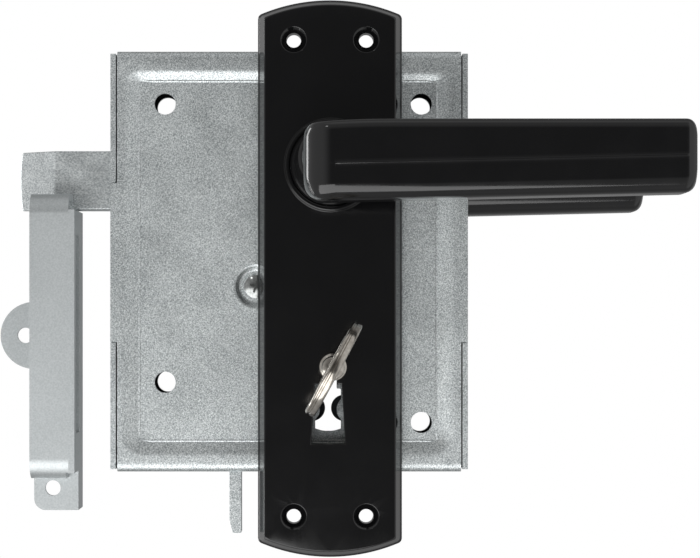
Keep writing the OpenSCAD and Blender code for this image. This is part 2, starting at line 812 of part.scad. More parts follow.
// Tumbler: a lever over the key's path with a stub above the bolt's notches
module tumbler() {
    color(brass) difference() {
        union() {
            along_y(tumbler_y0, tumbler_y1) union() {
                polygon([[tumbler_x, tumbler_z1], [tumbler_x0, tumbler_z1],
                    [tumbler_x0, tumbler_z1 - nose_h],
                    [key_x - belly_half, belly_z], [key_x + belly_half, belly_z],
                    [tumbler_x - 2 * tumbler_eye_r, tumbler_z - tumbler_eye_r],
                    [tumbler_x, tumbler_z - tumbler_eye_r]]);
                translate([tumbler_x, tumbler_z]) circle(tumbler_eye_r);
                rect(tumbler_x, tumbler_x + tumbler_eye_r, tumbler_z, tumbler_z1);
            }
            box(stub_x, stub_x + stub_w, tumbler_y0, bolt_tail_y1 - 0.3, bolt_z1 + slide, tumbler_z1);
        }
        rod(tumbler_x, tumbler_z, tumbler_y0 - over, tumbler_y1 + over, tumbler_pin_r + 0.05);
    }
}

// Leaf spring hooked round its anchor, resting over the tumbler
module tumbler_spring() {
    contact_z = tumbler_z1 + 0.3;
    eye_r = anchor_r + run;
    color(bright) difference() {
        union() {
            rod(anchor_x, anchor_z, leaf_y0, leaf_y0 + leaf_w, eye_r + 2 * leaf_t);
            along_y(leaf_y0, leaf_y0 + leaf_w) polygon([[anchor_x, anchor_z - eye_r - 0.1],
                [anchor_x, anchor_z - eye_r - leaf_t - 0.1], [leaf_x0 + leaf_tip, contact_z],
                [leaf_x0, contact_z + leaf_curl], [leaf_x0, contact_z + leaf_curl + leaf_t],
                [leaf_x0 + leaf_tip, contact_z + leaf_t]]);
        }
        rod(anchor_x, anchor_z, leaf_y0 - over, leaf_y0 + leaf_w + over, eye_r);
    }
}

// Snib: strap, foot bar and finger tab with a bent tip
module snib() {
    color(zinc_light) union() {
        along_y(snib_y0, snib_y1) difference() {
            union() {
                rect(snib_strap_x0, snib_strap_x1, snib_bar_z0, snib_top);
                rect(snib_strap_x0 - snib_hook, snib_pins[0][0] + 4, snib_head_z, snib_top);
                rect(snib_strap_x0, snib_tab_x1, snib_bar_z0, snib_bar_z1);
            }
            for (p = snib_pins) slot(p[0] - snib_travel, p[0], p[1], snib_pin_r + run);
        }
        along_y(snib_tab_y0, snib_y1) polygon([[snib_tab_x0, snib_bar_z0 + 1], [snib_tab_x1, snib_bar_z0 + 1],
            [snib_tab_x1, snib_tip_z], [snib_tab_x0 + 1, snib_tip_z],
            [snib_tab_x0, snib_tip_z + snib_bent]]);
    }
}

// Key: ring bow, shank with a collar, and bit
module key() {
    color(bright) translate([key_x, 0, key_z]) rotate([0, key_turn, 0]) union() {
        translate([-bow_t / 2, 0, 0]) along_x(0, bow_t) difference() {
            translate([bow_mid_y, 0]) circle(bow_d / 2, $fn = 72);
            translate([bow_mid_y, 0]) circle(bow_hole_d / 2, $fn = 72);
        }
        rod(0, 0, bow_mid_y + bow_d / 2 - bow_root, key_end_y, shank_r);
        rod(0, 0, collar_y1 - collar_l, collar_y1, collar_r);
        difference() {
            box(-bit_t / 2, bit_t / 2, bit_y0, bit_y1, -bit_r, 0);
            box(-bit_t, bit_t, ward_y0, ward_y0 + ward_w, -bit_r - over, -bit_r + ward_d);
        }
    }
}

// Keeper: a pressed box with rolled ends, a windowed side wall, an ear and a foot
module keeper() {
    foot_back = keeper_foot_y + keeper_t;
    box_z1 = keeper_z1;
    color(zinc_light) difference() {
        union() {
            along_x(keeper_x0, keeper_x1 - keeper_t) difference() {
                round_rect(keeper_front, foot_back + keeper_cut, keeper_box_z0, box_z1, keeper_roll_r);
                round_rect(keeper_front + keeper_t, foot_back + keeper_cut + over,
                    keeper_box_z0 + keeper_t, box_z1 - keeper_t, keeper_roll_r - keeper_t);
                rect(foot_back, foot_back + keeper_cut + 2 * over, keeper_z0, box_z1 + over);
            }
            box(keeper_x0, keeper_x0 + keeper_t, keeper_front + keeper_t, foot_back,
                keeper_win_z0, keeper_win_z1);
            box(keeper_x1 - keeper_t, keeper_x1, keeper_front, keeper_back, keeper_z0, latch_z0 - latch_drop);
            along_y(keeper_foot_y, foot_back) {
                round_rect(keeper_x0, keeper_x1, keeper_z0, keeper_box_z0 + 2 * keeper_t, 3.5);
                rect(keeper_x0 + 4, keeper_x1, keeper_z0, keeper_box_z0 + keeper_t);
                difference() {
                    translate([keeper_x0, keeper_ear_z]) circle(keeper_ear_r);
                    rect(keeper_x0 + keeper_t, keeper_x0 + 20, keeper_ear_z - 20, keeper_ear_z + 20);
                }
            }
        }
        rod(keeper_foot_hole[0], keeper_foot_hole[1], -over, foot_back + over, keeper_hole_r);
        rod(keeper_ear_hole_x, keeper_ear_z, -over, foot_back + over, keeper_hole_r);
        box(keeper_x1 - 2 * keeper_t, keeper_x1 + over, keeper_win_y0, keeper_win_y1,
            keeper_win_z0, keeper_win_z1);
        box(keeper_x1 - keeper_t - over, keeper_x1 + over, keeper_front - over, keeper_foot_y,
            keeper_z0 - over, keeper_box_z0 + keeper_t);
    }
}

case_back();
case_cover();
cover_screw();
cover_post();
bolt_guide_pin();
snib_guide_pins();
tumbler_pin();
spring_anchor();
spring_stop();
outer_plate();
outer_lever();
inner_lever();
spindle();
lever_pins();
follower();
latch_bolt();
latch_tail();
latch_spring();
dead_bolt();
bolt_tail();
tumbler();
tumbler_spring();
snib();
key();
keeper();
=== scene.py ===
"""Rim lock with lever handles, a long plate, a key and a loose keeper, dressed over its fixed frame.

The classes hold their sizes in millimetres: X away from the bolts, Y from the long plate to
the case's back, Z up. Meshes are made in metres.
"""
import logging
import math
from dataclasses import dataclass, field
from enum import Enum

import bmesh
import bpy
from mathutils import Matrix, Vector
from mathutils.geometry import delaunay_2d_cdt


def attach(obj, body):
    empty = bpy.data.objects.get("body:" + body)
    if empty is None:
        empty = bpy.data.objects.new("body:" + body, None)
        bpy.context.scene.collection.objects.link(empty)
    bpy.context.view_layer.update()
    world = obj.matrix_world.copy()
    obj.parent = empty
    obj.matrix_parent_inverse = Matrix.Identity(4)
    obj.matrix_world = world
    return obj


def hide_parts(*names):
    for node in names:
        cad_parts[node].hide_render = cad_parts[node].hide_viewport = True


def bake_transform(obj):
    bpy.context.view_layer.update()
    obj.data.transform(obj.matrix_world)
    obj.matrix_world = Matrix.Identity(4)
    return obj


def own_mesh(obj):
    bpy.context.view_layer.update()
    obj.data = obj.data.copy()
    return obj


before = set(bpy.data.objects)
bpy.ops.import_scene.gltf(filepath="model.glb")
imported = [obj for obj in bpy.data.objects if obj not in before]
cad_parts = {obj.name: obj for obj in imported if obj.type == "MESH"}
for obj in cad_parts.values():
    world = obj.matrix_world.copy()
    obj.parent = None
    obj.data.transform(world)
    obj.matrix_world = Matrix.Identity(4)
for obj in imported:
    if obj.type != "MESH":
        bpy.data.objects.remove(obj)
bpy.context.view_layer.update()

log = logging.getLogger("rim_lock")
MM = 0.001
Point2 = tuple[float, float]
Point3 = tuple[float, float, float]
Profile = tuple[Point2, ...]
# Points nearer than this are one point
JOIN_MM = 0.001
# Where most values of the noise texture lie, for one noise alone and for two mixed
NOISE_SPAN: Point2 = (0.35, 0.65)
MIXED_SPAN: Point2 = (0.37, 0.63)
# X and Z of the key's axis
KEY_AXIS: Point2 = (0.5, -59.3)


def linear(hex_colour: str) -> tuple[float, float, float, float]:
    """Turn an sRGB hex colour into linear light.

    Args:
        hex_colour: Colour as #RRGGBB.

    Returns:
        Linear red, green and blue with an alpha of 1.
    """
    parts = [int(hex_colour[i:i + 2], 16) / 255 for i in (1, 3, 5)]
    red, green, blue = (c / 12.92 if c <= 0.04045 else ((c + 0.055) / 1.055) ** 2.4 for c in parts)
    return red, green, blue, 1.0


def add_node(tree: bpy.types.NodeTree, kind: str, settings: dict | None = None,
             links: dict | None = None) -> bpy.types.Node:
    """Add one node with its settings and links.

    Args:
        tree: Tree that gets the node.
        kind: Blender's name for the kind of node.
        settings: Values by the name or number of an input, or by the name of a property.
        links: Output sockets by the name or number of the input that they feed.

    Returns:
        The new node.
    """
    node = tree.nodes.new(kind)
    for key, value in (settings or {}).items():
        if isinstance(key, int) or key in node.inputs:
            node.inputs[key].default_value = value
        else:
            setattr(node, key, value)
    for key, source in (links or {}).items():
        tree.links.new(source, node.inputs[key])
    return node


def empty_material(name: str) -> bpy.types.Material:
    """Make a material with an empty node tree.

    Args:
        name: Name of the material.

    Returns:
        The new material.
    """
    material = bpy.data.materials.new(name)
    material.use_nodes = True
    material.node_tree.nodes.clear()
    return material


@dataclass(frozen=True)
class PlatedMetal:
    """Metal with a fine grain, cloudy patches and a little relief.

    Args:
        name: Common name of the metal and its surface.
        light: Colour of the brightest grain.
        dark: Colour of the darkest grain.
        roughness: Lowest and highest roughness.
        grain_mm: Width of one grain.
        relief_mm: Height of the grain.
        cloud_mm: Width of the cloudy patches.
        cloud_share: Share of the tone that the patches carry.
        stretch: How much shorter the pattern is along X, Y and Z.
        shade_colour: Colour of the painted shade inside the case and round its keyhole, where the real sheet
            lies in shadow, or none.
        shade_boxes: Middle, half size and strength of the painted shade in each box where it lies.
        turn: Turn of the pattern in radians, so that it lines up with no face.
        details: How many finer levels the grain and the patches have.
    """

    name: str
    light: str
    dark: str
    roughness: Point2
    grain_mm: float
    relief_mm: float
    cloud_mm: float = 14.0
    cloud_share: float = 0.3
    stretch: Point3 = (1.0, 1.0, 1.0)
    shade_colour: str | None = None
    # Boxes of painted shade: the inside of the case, and the sheet round the keyhole that the plate's hole
    # shadows
    shade_boxes: tuple[tuple[Point3, Point3, float], ...] = (
        ((-12.45, 8.62, -28.25), (52.3, 5.86, 61.8), 1.0),
        ((-0.8, 1.75, -73.5), (5.8, 0.6, 9.6), 0.6))
    turn: Point3 = (0.4, 0.7, 0.3)
    details: Point2 = (2.5, 3.0)

    def painted_shade(self, tree: bpy.types.NodeTree, place: bpy.types.NodeSocket,
                colour: bpy.types.NodeSocket) -> bpy.types.NodeSocket:
        """Paint shade on the colour inside the case and round its keyhole, where the real sheet lies in
        shadow.

        Args:
            tree: The material's node tree.
            place: Place on the object.
            colour: Colour before the painted shade.

        Returns:
            Socket that carries the colour with its painted shade.
        """
        parts = add_node(tree, "ShaderNodeSeparateXYZ", {}, {0: place}).outputs
        for middles, halves, strength in self.shade_boxes:
            share = add_node(tree, "ShaderNodeValue")
            share.outputs[0].default_value = strength
            for part, middle, half in zip(parts, middles, halves):
                near = add_node(tree, "ShaderNodeMath", {"operation": "COMPARE", 1: middle * MM,
                                                         2: half * MM}, {0: part}).outputs[0]
                share = add_node(tree, "ShaderNodeMath", {"operation": "MULTIPLY"},
                                 {0: near, 1: share.outputs[0]})
            # Painted shade: mix the dark shade colour in where the point lies inside the box
            colour = add_node(tree, "ShaderNodeMix", {"data_type": "RGBA", 7: linear(self.shade_colour)},
                              {0: share.outputs[0], 6: colour}).outputs[2]
        return colour

    def material(self) -> bpy.types.Material:
        """Make the finish's node material.

        Returns:
            The new material.
        """
        material = empty_material(self.name)
        tree = material.node_tree
        place = add_node(tree, "ShaderNodeTexCoord").outputs["Object"]
        spread = add_node(tree, "ShaderNodeMapping", {"Scale": self.stretch, "Rotation": self.turn},
                          {"Vector": place}).outputs[0]
        grain = add_node(tree, "ShaderNodeTexNoise", {"Scale": 1 / (self.grain_mm * MM),
                                                      "Detail": self.details[0]},
                         {"Vector": spread}).outputs[0]
        cloud = add_node(tree, "ShaderNodeTexNoise", {"Scale": 1 / (self.cloud_mm * MM),
                                                      "Detail": self.details[1]},
                         {"Vector": spread}).outputs[0]
        both = add_node(tree, "ShaderNodeMix", {"data_type": "FLOAT", 0: self.cloud_share},
                        {2: grain, 3: cloud}).outputs[0]
        tone = add_node(tree, "ShaderNodeMapRange", {"From Min": MIXED_SPAN[0],
                                                     "From Max": MIXED_SPAN[1]}, {"Value": both}).outputs[0]
        colour = add_node(tree, "ShaderNodeMix", {"data_type": "RGBA", 6: linear(self.dark),
                                                  7: linear(self.light)}, {0: tone}).outputs[2]
        if self.shade_colour:
            colour = self.painted_shade(tree, place, colour)
        rough = add_node(tree, "ShaderNodeMapRange", {"From Min": NOISE_SPAN[0],
                                                      "From Max": NOISE_SPAN[1],
                                                      "To Min": self.roughness[0],
                                                      "To Max": self.roughness[1]},
                         {"Value": cloud}).outputs[0]
        bump = add_node(tree, "ShaderNodeBump", {"Distance": self.relief_mm * MM, "Strength": 1.0},
                        {"Height": grain}).outputs[0]
        shader = add_node(tree, "ShaderNodeBsdfPrincipled", {"Metallic": 1.0},
                          {"Base Color": colour, "Roughness": rough, "Normal": bump}).outputs[0]
        add_node(tree, "ShaderNodeOutputMaterial", {}, {"Surface": shader})
        return material


@dataclass(frozen=True)
class GlossMoulding:
    """Black plastic from a polished mould.

    Args:
        name: Common name of the plastic and its surface.
        colour: Colour of the plastic.
        streak: Colour of its faint flow marks.
        roughness: Lowest and highest roughness.
        flow_mm: Width of the flow marks.
        wave_mm: Height of the slow waves that a moulded face has.
        wave_pace: Number of slow waves to one flow mark.
        ior: Index of refraction.
    """

    name: str
    colour: str
    streak: str
    roughness: Point2
    flow_mm: float = 9.0
    wave_mm: float = 0.03
    wave_pace: float = 0.4
    ior: float = 1.56

    def material(self) -> bpy.types.Material:
        """Make the finish's node material.

        Returns:
            The new material.
        """
        material = empty_material(self.name)
        tree = material.node_tree
        place = add_node(tree, "ShaderNodeTexCoord").outputs["Object"]
        flow = add_node(tree, "ShaderNodeTexNoise", {"Scale": 1 / (self.flow_mm * MM), "Detail": 4.0},
                        {"Vector": place}).outputs[0]
        wave = add_node(tree, "ShaderNodeTexNoise", {"Scale": self.wave_pace / (self.flow_mm * MM),
                                                     "Detail": 0.0}, {"Vector": place}).outputs[0]
        colour = add_node(tree, "ShaderNodeMix", {"data_type": "RGBA", 6: linear(self.colour),
                                                  7: linear(self.streak)}, {0: flow}).outputs[2]
        rough = add_node(tree, "ShaderNodeMapRange", {"From Min": NOISE_SPAN[0],
                                                      "From Max": NOISE_SPAN[1],
                                                      "To Min": self.roughness[0],
                                                      "To Max": self.roughness[1]},
                         {"Value": flow}).outputs[0]
        bump = add_node(tree, "ShaderNodeBump", {"Distance": self.wave_mm * MM, "Strength": 1.0},
                        {"Height": wave}).outputs[0]
        shader = add_node(tree, "ShaderNodeBsdfPrincipled", {"IOR": self.ior},
                          {"Base Color": colour, "Roughness": rough, "Normal": bump}).outputs[0]
        add_node(tree, "ShaderNodeOutputMaterial", {}, {"Surface": shader})
        return material


class Finish(Enum):
    """The finishes of the lock, each with what it gives the eye."""

    # Zinc-plated rolled sheet: a lively grey speckle, real grain about 0.3 mm, with painted shade inside the
    # case and round its keyhole
    ZINC_SHEET = PlatedMetal("zinc_plated_sheet", "#F1F5F5", "#969D9F", (0.42, 0.48), 0.32, 0.008,
                             16.0, 0.08, shade_colour="#2A2C2E")
    # Satin zinc plate on smooth pressed sheet: an even pale grey with soft lights
    SATIN_ZINC = PlatedMetal("satin_zinc_plate", "#CDD1D2", "#BDC2C3", (0.48, 0.52), 0.5, 0.002, 25.0, 0.2)
    # Zinc-plated solid steel: even grey, its milling just visible
    MILLED_STEEL = PlatedMetal("zinc_plated_milled_steel", "#F1F5F5", "#B4BABC", (0.38, 0.46), 0.38, 0.005,
                               5.0, 0.15, (0.7, 1.0, 1.0))
    # Turned and drawn steel of pins, posts and the spindle: darker, with fine drawing marks
    DRAWN_STEEL = PlatedMetal("drawn_steel", "#C9CBCC", "#A2A5A7", (0.25, 0.38), 0.6, 0.006,
                              6.0, 0.4, (1.0, 0.15, 1.0))
    # Bright zinc on the screw and springs: almost a mirror, with faint clouds
    BRIGHT_ZINC = PlatedMetal("bright_zinc_plate", "#A9ABAA", "#8E908F", (0.16, 0.26), 0.9, 0.002, 5.0)
    # Bright nickel plate on the key: warm mirror, tumbled soft
    NICKEL = PlatedMetal("bright_nickel_plate", "#C4BFB7", "#A29C94", (0.12, 0.20), 1.2, 0.004, 4.0, 0.5)
    # Sawn and tumbled brass of the follower and tumbler: dull gold with saw marks
    BRASS = PlatedMetal("tumbled_brass", "#D9BE84", "#B4955A", (0.30, 0.45), 0.7, 0.008,
                        7.0, 0.4, (1.0, 0.3, 1.0))
    # Glossy black nylon of the levers: deep black with crisp reflections
    BLACK_NYLON = GlossMoulding("gloss_black_nylon", "#0B0B0C", "#101011", (0.08, 0.13))
    # Same plastic on the flat plate: a little softer, from a less polished mould
    BLACK_PLATE = GlossMoulding("gloss_black_plate_moulding", "#0B0B0C", "#0F0F10", (0.09, 0.13), 14.0, 0.02)

    def made(self) -> bpy.types.Material:
        """Return the finish's material, made once."""
        found = bpy.data.materials.get(self.value.name)
        return found or self.value.material()


def crease_shading(angle_deg: float) -> bpy.types.NodeTree:
    """Make or find the mesh nodes that shade smooth up to an angle.

    Args:
        angle_deg: Angle between faces over which an edge stays sharp.

    Returns:
        The node group.
    """
    name = f"crease_shading_{round(angle_deg)}"
    if name in bpy.data.node_groups:
        return bpy.data.node_groups[name]
    tree = bpy.data.node_groups.new(name, "GeometryNodeTree")
    for way in ("INPUT", "OUTPUT"):
        tree.interface.new_socket("Geometry", in_out=way, socket_type="NodeSocketGeometry")
    mesh = add_node(tree, "NodeGroupInput").outputs[0]
    angle = add_node(tree, "GeometryNodeInputMeshEdgeAngle").outputs[0]
    sharp = add_node(tree, "FunctionNodeCompare", {"data_type": "FLOAT", "operation": "GREATER_THAN",
                                                   1: math.radians(angle_deg)}, {0: angle}).outputs[0]
    shaded = add_node(tree, "GeometryNodeSetMeshNormal", {"mode": "SHARPNESS", "Remove Custom": True,
                                                          "Face Sharpness": False},
                      {"Mesh": mesh, "Edge Sharpness": sharp}).outputs[0]
    add_node(tree, "NodeGroupOutput", {}, {0: shaded})
    return tree


@dataclass
class Edges:
    """How a piece's edges are rounded and shaded.

    Args:
        width_mm: Width of the rounding, or 0 for none.
        limit_deg: Angle over which an edge is rounded.
        shade_deg: Angle over which an edge is shaded sharp.
        segments: Facets across the rounding.
        join_mm: Distance under which split points are joined.
        flat_deg: Angle under which two faces count as one flat face.
        face_weight: How much more a large face counts in the shading of its edges.
    """

    width_mm: float = 0.25
    limit_deg: float = 35.0
    shade_deg: float = 30.0
    segments: int = 2
    join_mm: float = 0.002
    flat_deg: float = 0.5
    face_weight: int = 80

    def apply(self, piece: bpy.types.Object, weld: bool = True, level: bool = False) -> None:
        """Add the modifiers that round and shade a piece's edges.

        Args:
            piece: Mesh object.
            weld: Whether the mesh first has its split points joined and flat faces merged.
            level: Whether large faces keep their own light up to their edges, as welded ones do.
        """
        if weld:
            join = piece.modifiers.new("join_points", "WELD")
            join.merge_threshold = self.join_mm * MM
            merge = piece.modifiers.new("merge_flats", "DECIMATE")
            merge.decimate_type = "DISSOLVE"
            merge.angle_limit = math.radians(self.flat_deg)
        if self.width_mm:
            bevel = piece.modifiers.new("round_edges", "BEVEL")
            bevel.width = self.width_mm * MM
            bevel.segments = self.segments
            bevel.limit_method = "ANGLE"
            bevel.angle_limit = math.radians(self.limit_deg)
            bevel.use_clamp_overlap = True
        shade = piece.modifiers.new("crease_shading", "NODES")
        shade.node_group = crease_shading(self.shade_deg)
        if weld or level:
            flat = piece.modifiers.new("flat_faces", "WEIGHTED_NORMAL")
            flat.keep_sharp = True
            flat.weight = self.face_weight


def make_piece(name: str, points: list[Point3], faces: list[list[int]], finish: Finish, body: str,
               node: str) -> bpy.types.Object:
    """Make a mesh piece that stands for a node of the frame.

    Args:
        name: Name of the piece.
        points: Points in millimetres.
        faces: Point numbers of each face.
        finish: Finish of the whole piece.
        body: Body that the piece rides on.
        node: Node that it replaces.

    Returns:
        The new object.
    """
    mesh = bpy.data.meshes.new(name)
    mesh.from_pydata([(x * MM, y * MM, z * MM) for x, y, z in points], [], faces)
    mesh.validate()
    mesh.update()
    mesh.materials.append(finish.made())
    piece = bpy.data.objects.new(name, mesh)
    bpy.context.scene.collection.objects.link(piece)
    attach(piece, body)
    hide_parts(node)
    return piece


def face_outwards(piece: bpy.types.Object) -> None:
    """Join the split points of a piece and turn all its faces outwards.

    Args:
        piece: Mesh object.
    """
    shell = bmesh.new()
    shell.from_mesh(piece.data)
    bmesh.ops.remove_doubles(shell, verts=shell.verts, dist=JOIN_MM * MM)
    bmesh.ops.recalc_face_normals(shell, faces=shell.faces)
    shell.to_mesh(piece.data)
    shell.free()


def rings_to_faces(rings: int, size: int, start: int = 0, caps: bool = True) -> list[list[int]]:
    """Join rings of points, one after another, to a tube.

    Args:
        rings: Number of rings.
        size: Points in each ring.
        start: Number of the first point.
        caps: Whether a face closes each end of the tube.

    Returns:
        Point numbers of each face.
    """
    faces = []
    for r in range(rings - 1):
        a, b = start + r * size, start + (r + 1) * size
        faces += [[a + i, a + (i + 1) % size, b + (i + 1) % size, b + i] for i in range(size)]
    if caps:
        faces.append([start + i for i in reversed(range(size))])
        faces.append([start + (rings - 1) * size + i for i in range(size)])
    return faces


def turned_rings(profile: Profile, count: int) -> list[Point3]:
    """Return the rings of points of a part that is turned about the Y axis.

    Args:
        profile: Y and radius of each ring.
        count: Points in each ring.

    Returns:
        Points of one ring after another.
    """
    turns = [math.tau * k / count for k in range(count)]
    return [(radius * math.cos(turn), y, radius * math.sin(turn)) for y, radius in profile for turn in turns]


def circle(x: float, z: float, radius: float, count: int) -> list[Point2]:
    """Return a circle of points.

    Args:
        x: Its middle across.
        z: Its middle upwards.
        radius: Its radius.
        count: Number of its points.

    Returns:
        Points as X and Z.
    """
    turns = [math.tau * k / count for k in range(count)]
    return [(x + radius * math.cos(turn), z + radius * math.sin(turn)) for turn in turns]


def shank_hole(radius: float = 3.5) -> list[Point2]:
    """Return the round part of a keyhole, which is open at the bottom.

    Args:
        radius: Its radius.

    Returns:
        Points from its right foot over the top to its left foot.
    """
    turns = [math.radians(a) for a in (-68, *range(-60, 241, 10), 248)]
    return [(KEY_AXIS[0] + radius * math.cos(turn), KEY_AXIS[1] + radius * math.sin(turn)) for turn in turns]


def inside(point: Point2, loop: list[Point2]) -> bool:
    """Return whether a point lies inside a closed outline.

    Args:
        point: The point.
        loop: Points of the outline.

    Returns:
        True where it lies inside.
    """
    found = False
    for (ax, az), (bx, bz) in zip(loop, loop[1:] + loop[:1]):
        if (az > point[1]) != (bz > point[1]):
            found ^= point[0] < ax + (bx - ax) * (point[1] - az) / (bz - az)
    return found


def sheet_triangles(loops: list[list[Point2]],
                    extra: list[Point2]) -> tuple[list[Point2], list[list[int]]]:
    """Fill a flat outline with triangles, leaving its holes open.

    Args:
        loops: The outline first, then the outline of each hole.
        extra: Further points that the triangles use.

    Returns:
        The points, and the point numbers of each triangle, all turned the same way.
    """
    points, edges = [], []
    for loop in loops:
        start = len(points)
        points += loop
        edges += [(start + k, start + (k + 1) % len(loop)) for k in range(len(loop))]
    whole_hull, nearest = 0, 1e-4
    spots = [Vector(p) for p in points + extra]
    flat, _, triangles, *_ = delaunay_2d_cdt(spots, edges, [], whole_hull, nearest)
    kept = []
    for face in triangles:
        middle = sum((flat[i] for i in face), Vector((0.0, 0.0))) / len(face)
        spot = (middle.x, middle.y)
        if inside(spot, loops[0]) and not any(inside(spot, hole) for hole in loops[1:]):
            a, b, c = (flat[i] for i in face[:3])
            kept.append(list(face) if (b - a).cross(c - a) > 0 else list(reversed(face)))
    used = sorted({i for face in kept for i in face})
    number = {old: new for new, old in enumerate(used)}
    return [(flat[i].x, flat[i].y) for i in used], [[number[i] for i in face] for face in kept]


def clamped(share: float) -> float:
    """Return a share held between 0 and 1."""
    return min(max(share, 0.0), 1.0)


def rounding(distance: float, radius: float) -> float:
    """Return how far a quarter-round end draws a side in.

    Args:
        distance: Distance from the end's tip.
        radius: Radius of the rounding.

    Returns:
        How far the side is drawn in there.
    """
    if distance >= radius:
        return 0.0
    return radius - math.sqrt(max(radius * radius - (radius - distance) ** 2, 0.0))


@dataclass
class LeverHandle:
    """One moulded lever: a soft-edged bar on a tapered neck.

    Sizes are those of the outer lever; the inner one is its mirror image.
    """

    name: str
    node: str
    inner: bool = False
    case_middle: float = 5.5
    # Sides of the bar, whose low side climbs from root to tip
    left: float = -7.9
    right: float = 100.5
    top: float = 9.6
    root_low: float = -13.2
    tip_low: float = -10.7
    front: float = -57.0
    back: float = -39.0
    # Roundings of its two ends, and the fall of its top towards the elbow
    elbow: float = 8.6
    back_elbow: float = 3.5
    low_elbow: float = 5.6
    top_elbow: float = 3.6
    tip_round: float = 2.6
    tip_low_round: float = 3.4
    tip_top_round: float = 3.0
    shoulder_run: float = 24.0
    shoulder_fall: float = 1.1
    # Roundings of its long edges, and the most of a side that one may take
    low_edge: float = -8.05
    low_round: float = 4.4
    top_round: float = 2.8
    back_round: float = 3.2
    round_share: float = 0.49
    # Moulding seam: height at root and tip, half width, rise, section as place and share of the rise,
    # least distance from the rounded edges, and where it begins and ends, each with its ramp's length
    seam_z: Point2 = (-2.8, -0.5)
    seam_half: float = 0.45
    seam_rise: float = 0.16
    seam_section: Profile = ((3.2, 0.0), (1.0, 0.0), (0.35, 1.0), (-0.35, 1.0), (-1.0, 0.0), (-3.2, 0.0))
    seam_margin: float = 1.0
    seam_begin: Point2 = (0.2, 1.5)
    seam_end: Point2 = (1.5, 2.0)
    # Neck and journal as Y and radius, with the journal's last rings set from its end
    neck: Profile = ((-43.0, 8.0), (-39.6, 8.7), (-39.1, 9.4), (-38.6, 9.0), (-38.0, 8.8), (-37.0, 8.78),
                     (-24.0, 10.38), (-10.6, 11.98), (-10.1, 12.08), (-9.6, 12.1))
    neck_tip: Profile = ((-0.4, 12.1), (0.0, 11.7), (0.0, 6.2))
    neck_end: float = -2.6
    # How finely each stretch is divided
    arc_steps: int = 8
    bend_steps: int = 16
    run_steps: int = 24
    seam_stations: tuple[float, ...] = (0.9, 1.3, 1.8, 2.4)
    tip_steps: int = 9
    neck_sides: int = 72

    def extents(self, x: float) -> tuple[float, float, float, float]:
        """Return the sides of the bar at a place along it.

        Args:
            x: The place.

        Returns:
            Front and back along Y, then low and high along Z.
        """
        from_left, from_right = x - self.left, self.right - x
        tip = rounding(from_right, self.tip_round)
        front = self.front + rounding(from_left, self.elbow) + tip
        back = self.back - rounding(from_left, self.back_elbow) - tip
        share = (x - self.left) / (self.right - self.left)
        low = self.root_low + (self.tip_low - self.root_low) * share
        low += rounding(from_left, self.low_elbow) + rounding(from_right, self.tip_low_round)
        shoulder = self.shoulder_fall * max(0.0, 1 - from_left / self.shoulder_run) ** 2
        high = self.top - shoulder - rounding(from_left, self.top_elbow)
        high -= rounding(from_right, self.tip_top_round)
        return front, back, low, high

    def section(self, x: float) -> list[Point3]:
        """Return one ring of points round the bar.

        Args:
            x: Place of the ring along the bar.

        Returns:
            Points of the ring, the seam's last.
        """
        front, back, low, high = self.extents(x)
        limit = self.round_share * min(back - front, high - low)
        low_round = min(max(self.low_edge - low, self.low_round), limit)
        top_round, back_round = min(self.top_round, limit), min(self.back_round, limit)
        corners = [(front + low_round, low + low_round, low_round, 180),
                   (back - back_round, low + back_round, back_round, 270),
                   (back - back_round, high - back_round, back_round, 0),
                   (front + top_round, high - top_round, top_round, 90)]
        ring = []
        for centre_y, centre_z, radius, start in corners:
            for k in range(self.arc_steps + 1):
                turn = math.radians(start + 90 * k / self.arc_steps)
                ring.append((x, centre_y + radius * math.cos(turn), centre_z + radius * math.sin(turn)))
        rise = self.seam_rise * clamped((x - self.seam_begin[0]) / self.seam_begin[1])
        rise *= clamped((self.right - self.seam_end[0] - x) / self.seam_end[1])
        seam = self.seam_z[0] + (self.seam_z[1] - self.seam_z[0]) * clamped(x / self.right)
        seam = min(max(seam, low + low_round + self.seam_margin), high - top_round - self.seam_margin)
        return ring + [(x, front - share * rise, seam + place * self.seam_half)
                       for place, share in self.seam_section]

    def stations(self) -> list[float]:
        """Return the places along the bar that have a ring.

        Returns:
            Places in rising order, closer at the elbow, the seam's start and the tip.
        """
        bend = [self.left + self.elbow * (1 - math.cos(math.radians(90 * k / self.bend_steps)))
                for k in range(self.bend_steps + 1)]
        start, end = bend[-1], self.right - self.tip_low_round
        run = [start + (end - start) * k / self.run_steps for k in range(1, self.run_steps)]
        tip = [end + self.tip_low_round * math.sin(math.radians(90 * k / self.tip_steps))
               for k in range(self.tip_steps + 1)]
        return sorted({*bend, *run, *self.seam_stations, *tip})

    def build(self) -> None:
        """Make the lever's bar and its neck as one piece."""
        places = self.stations()
        points = [point for x in places for point in self.section(x)]
        faces = rings_to_faces(len(places), len(points) // len(places))
        neck = self.neck + tuple((self.neck_end + y, radius) for y, radius in self.neck_tip)
        faces += rings_to_faces(len(neck), self.neck_sides, len(points))
        points += turned_rings(neck, self.neck_sides)
        if self.inner:
            points = [(x, 2 * self.case_middle - y, z) for x, y, z in points]
        piece = make_piece(self.name, points, faces, Finish.BLACK_NYLON, "handles", self.node)
        face_outwards(piece)
        Edges(0.0, shade_deg=38.0).apply(piece, weld=False, level=True)
        log.info("%s: %d points", self.name, len(points))


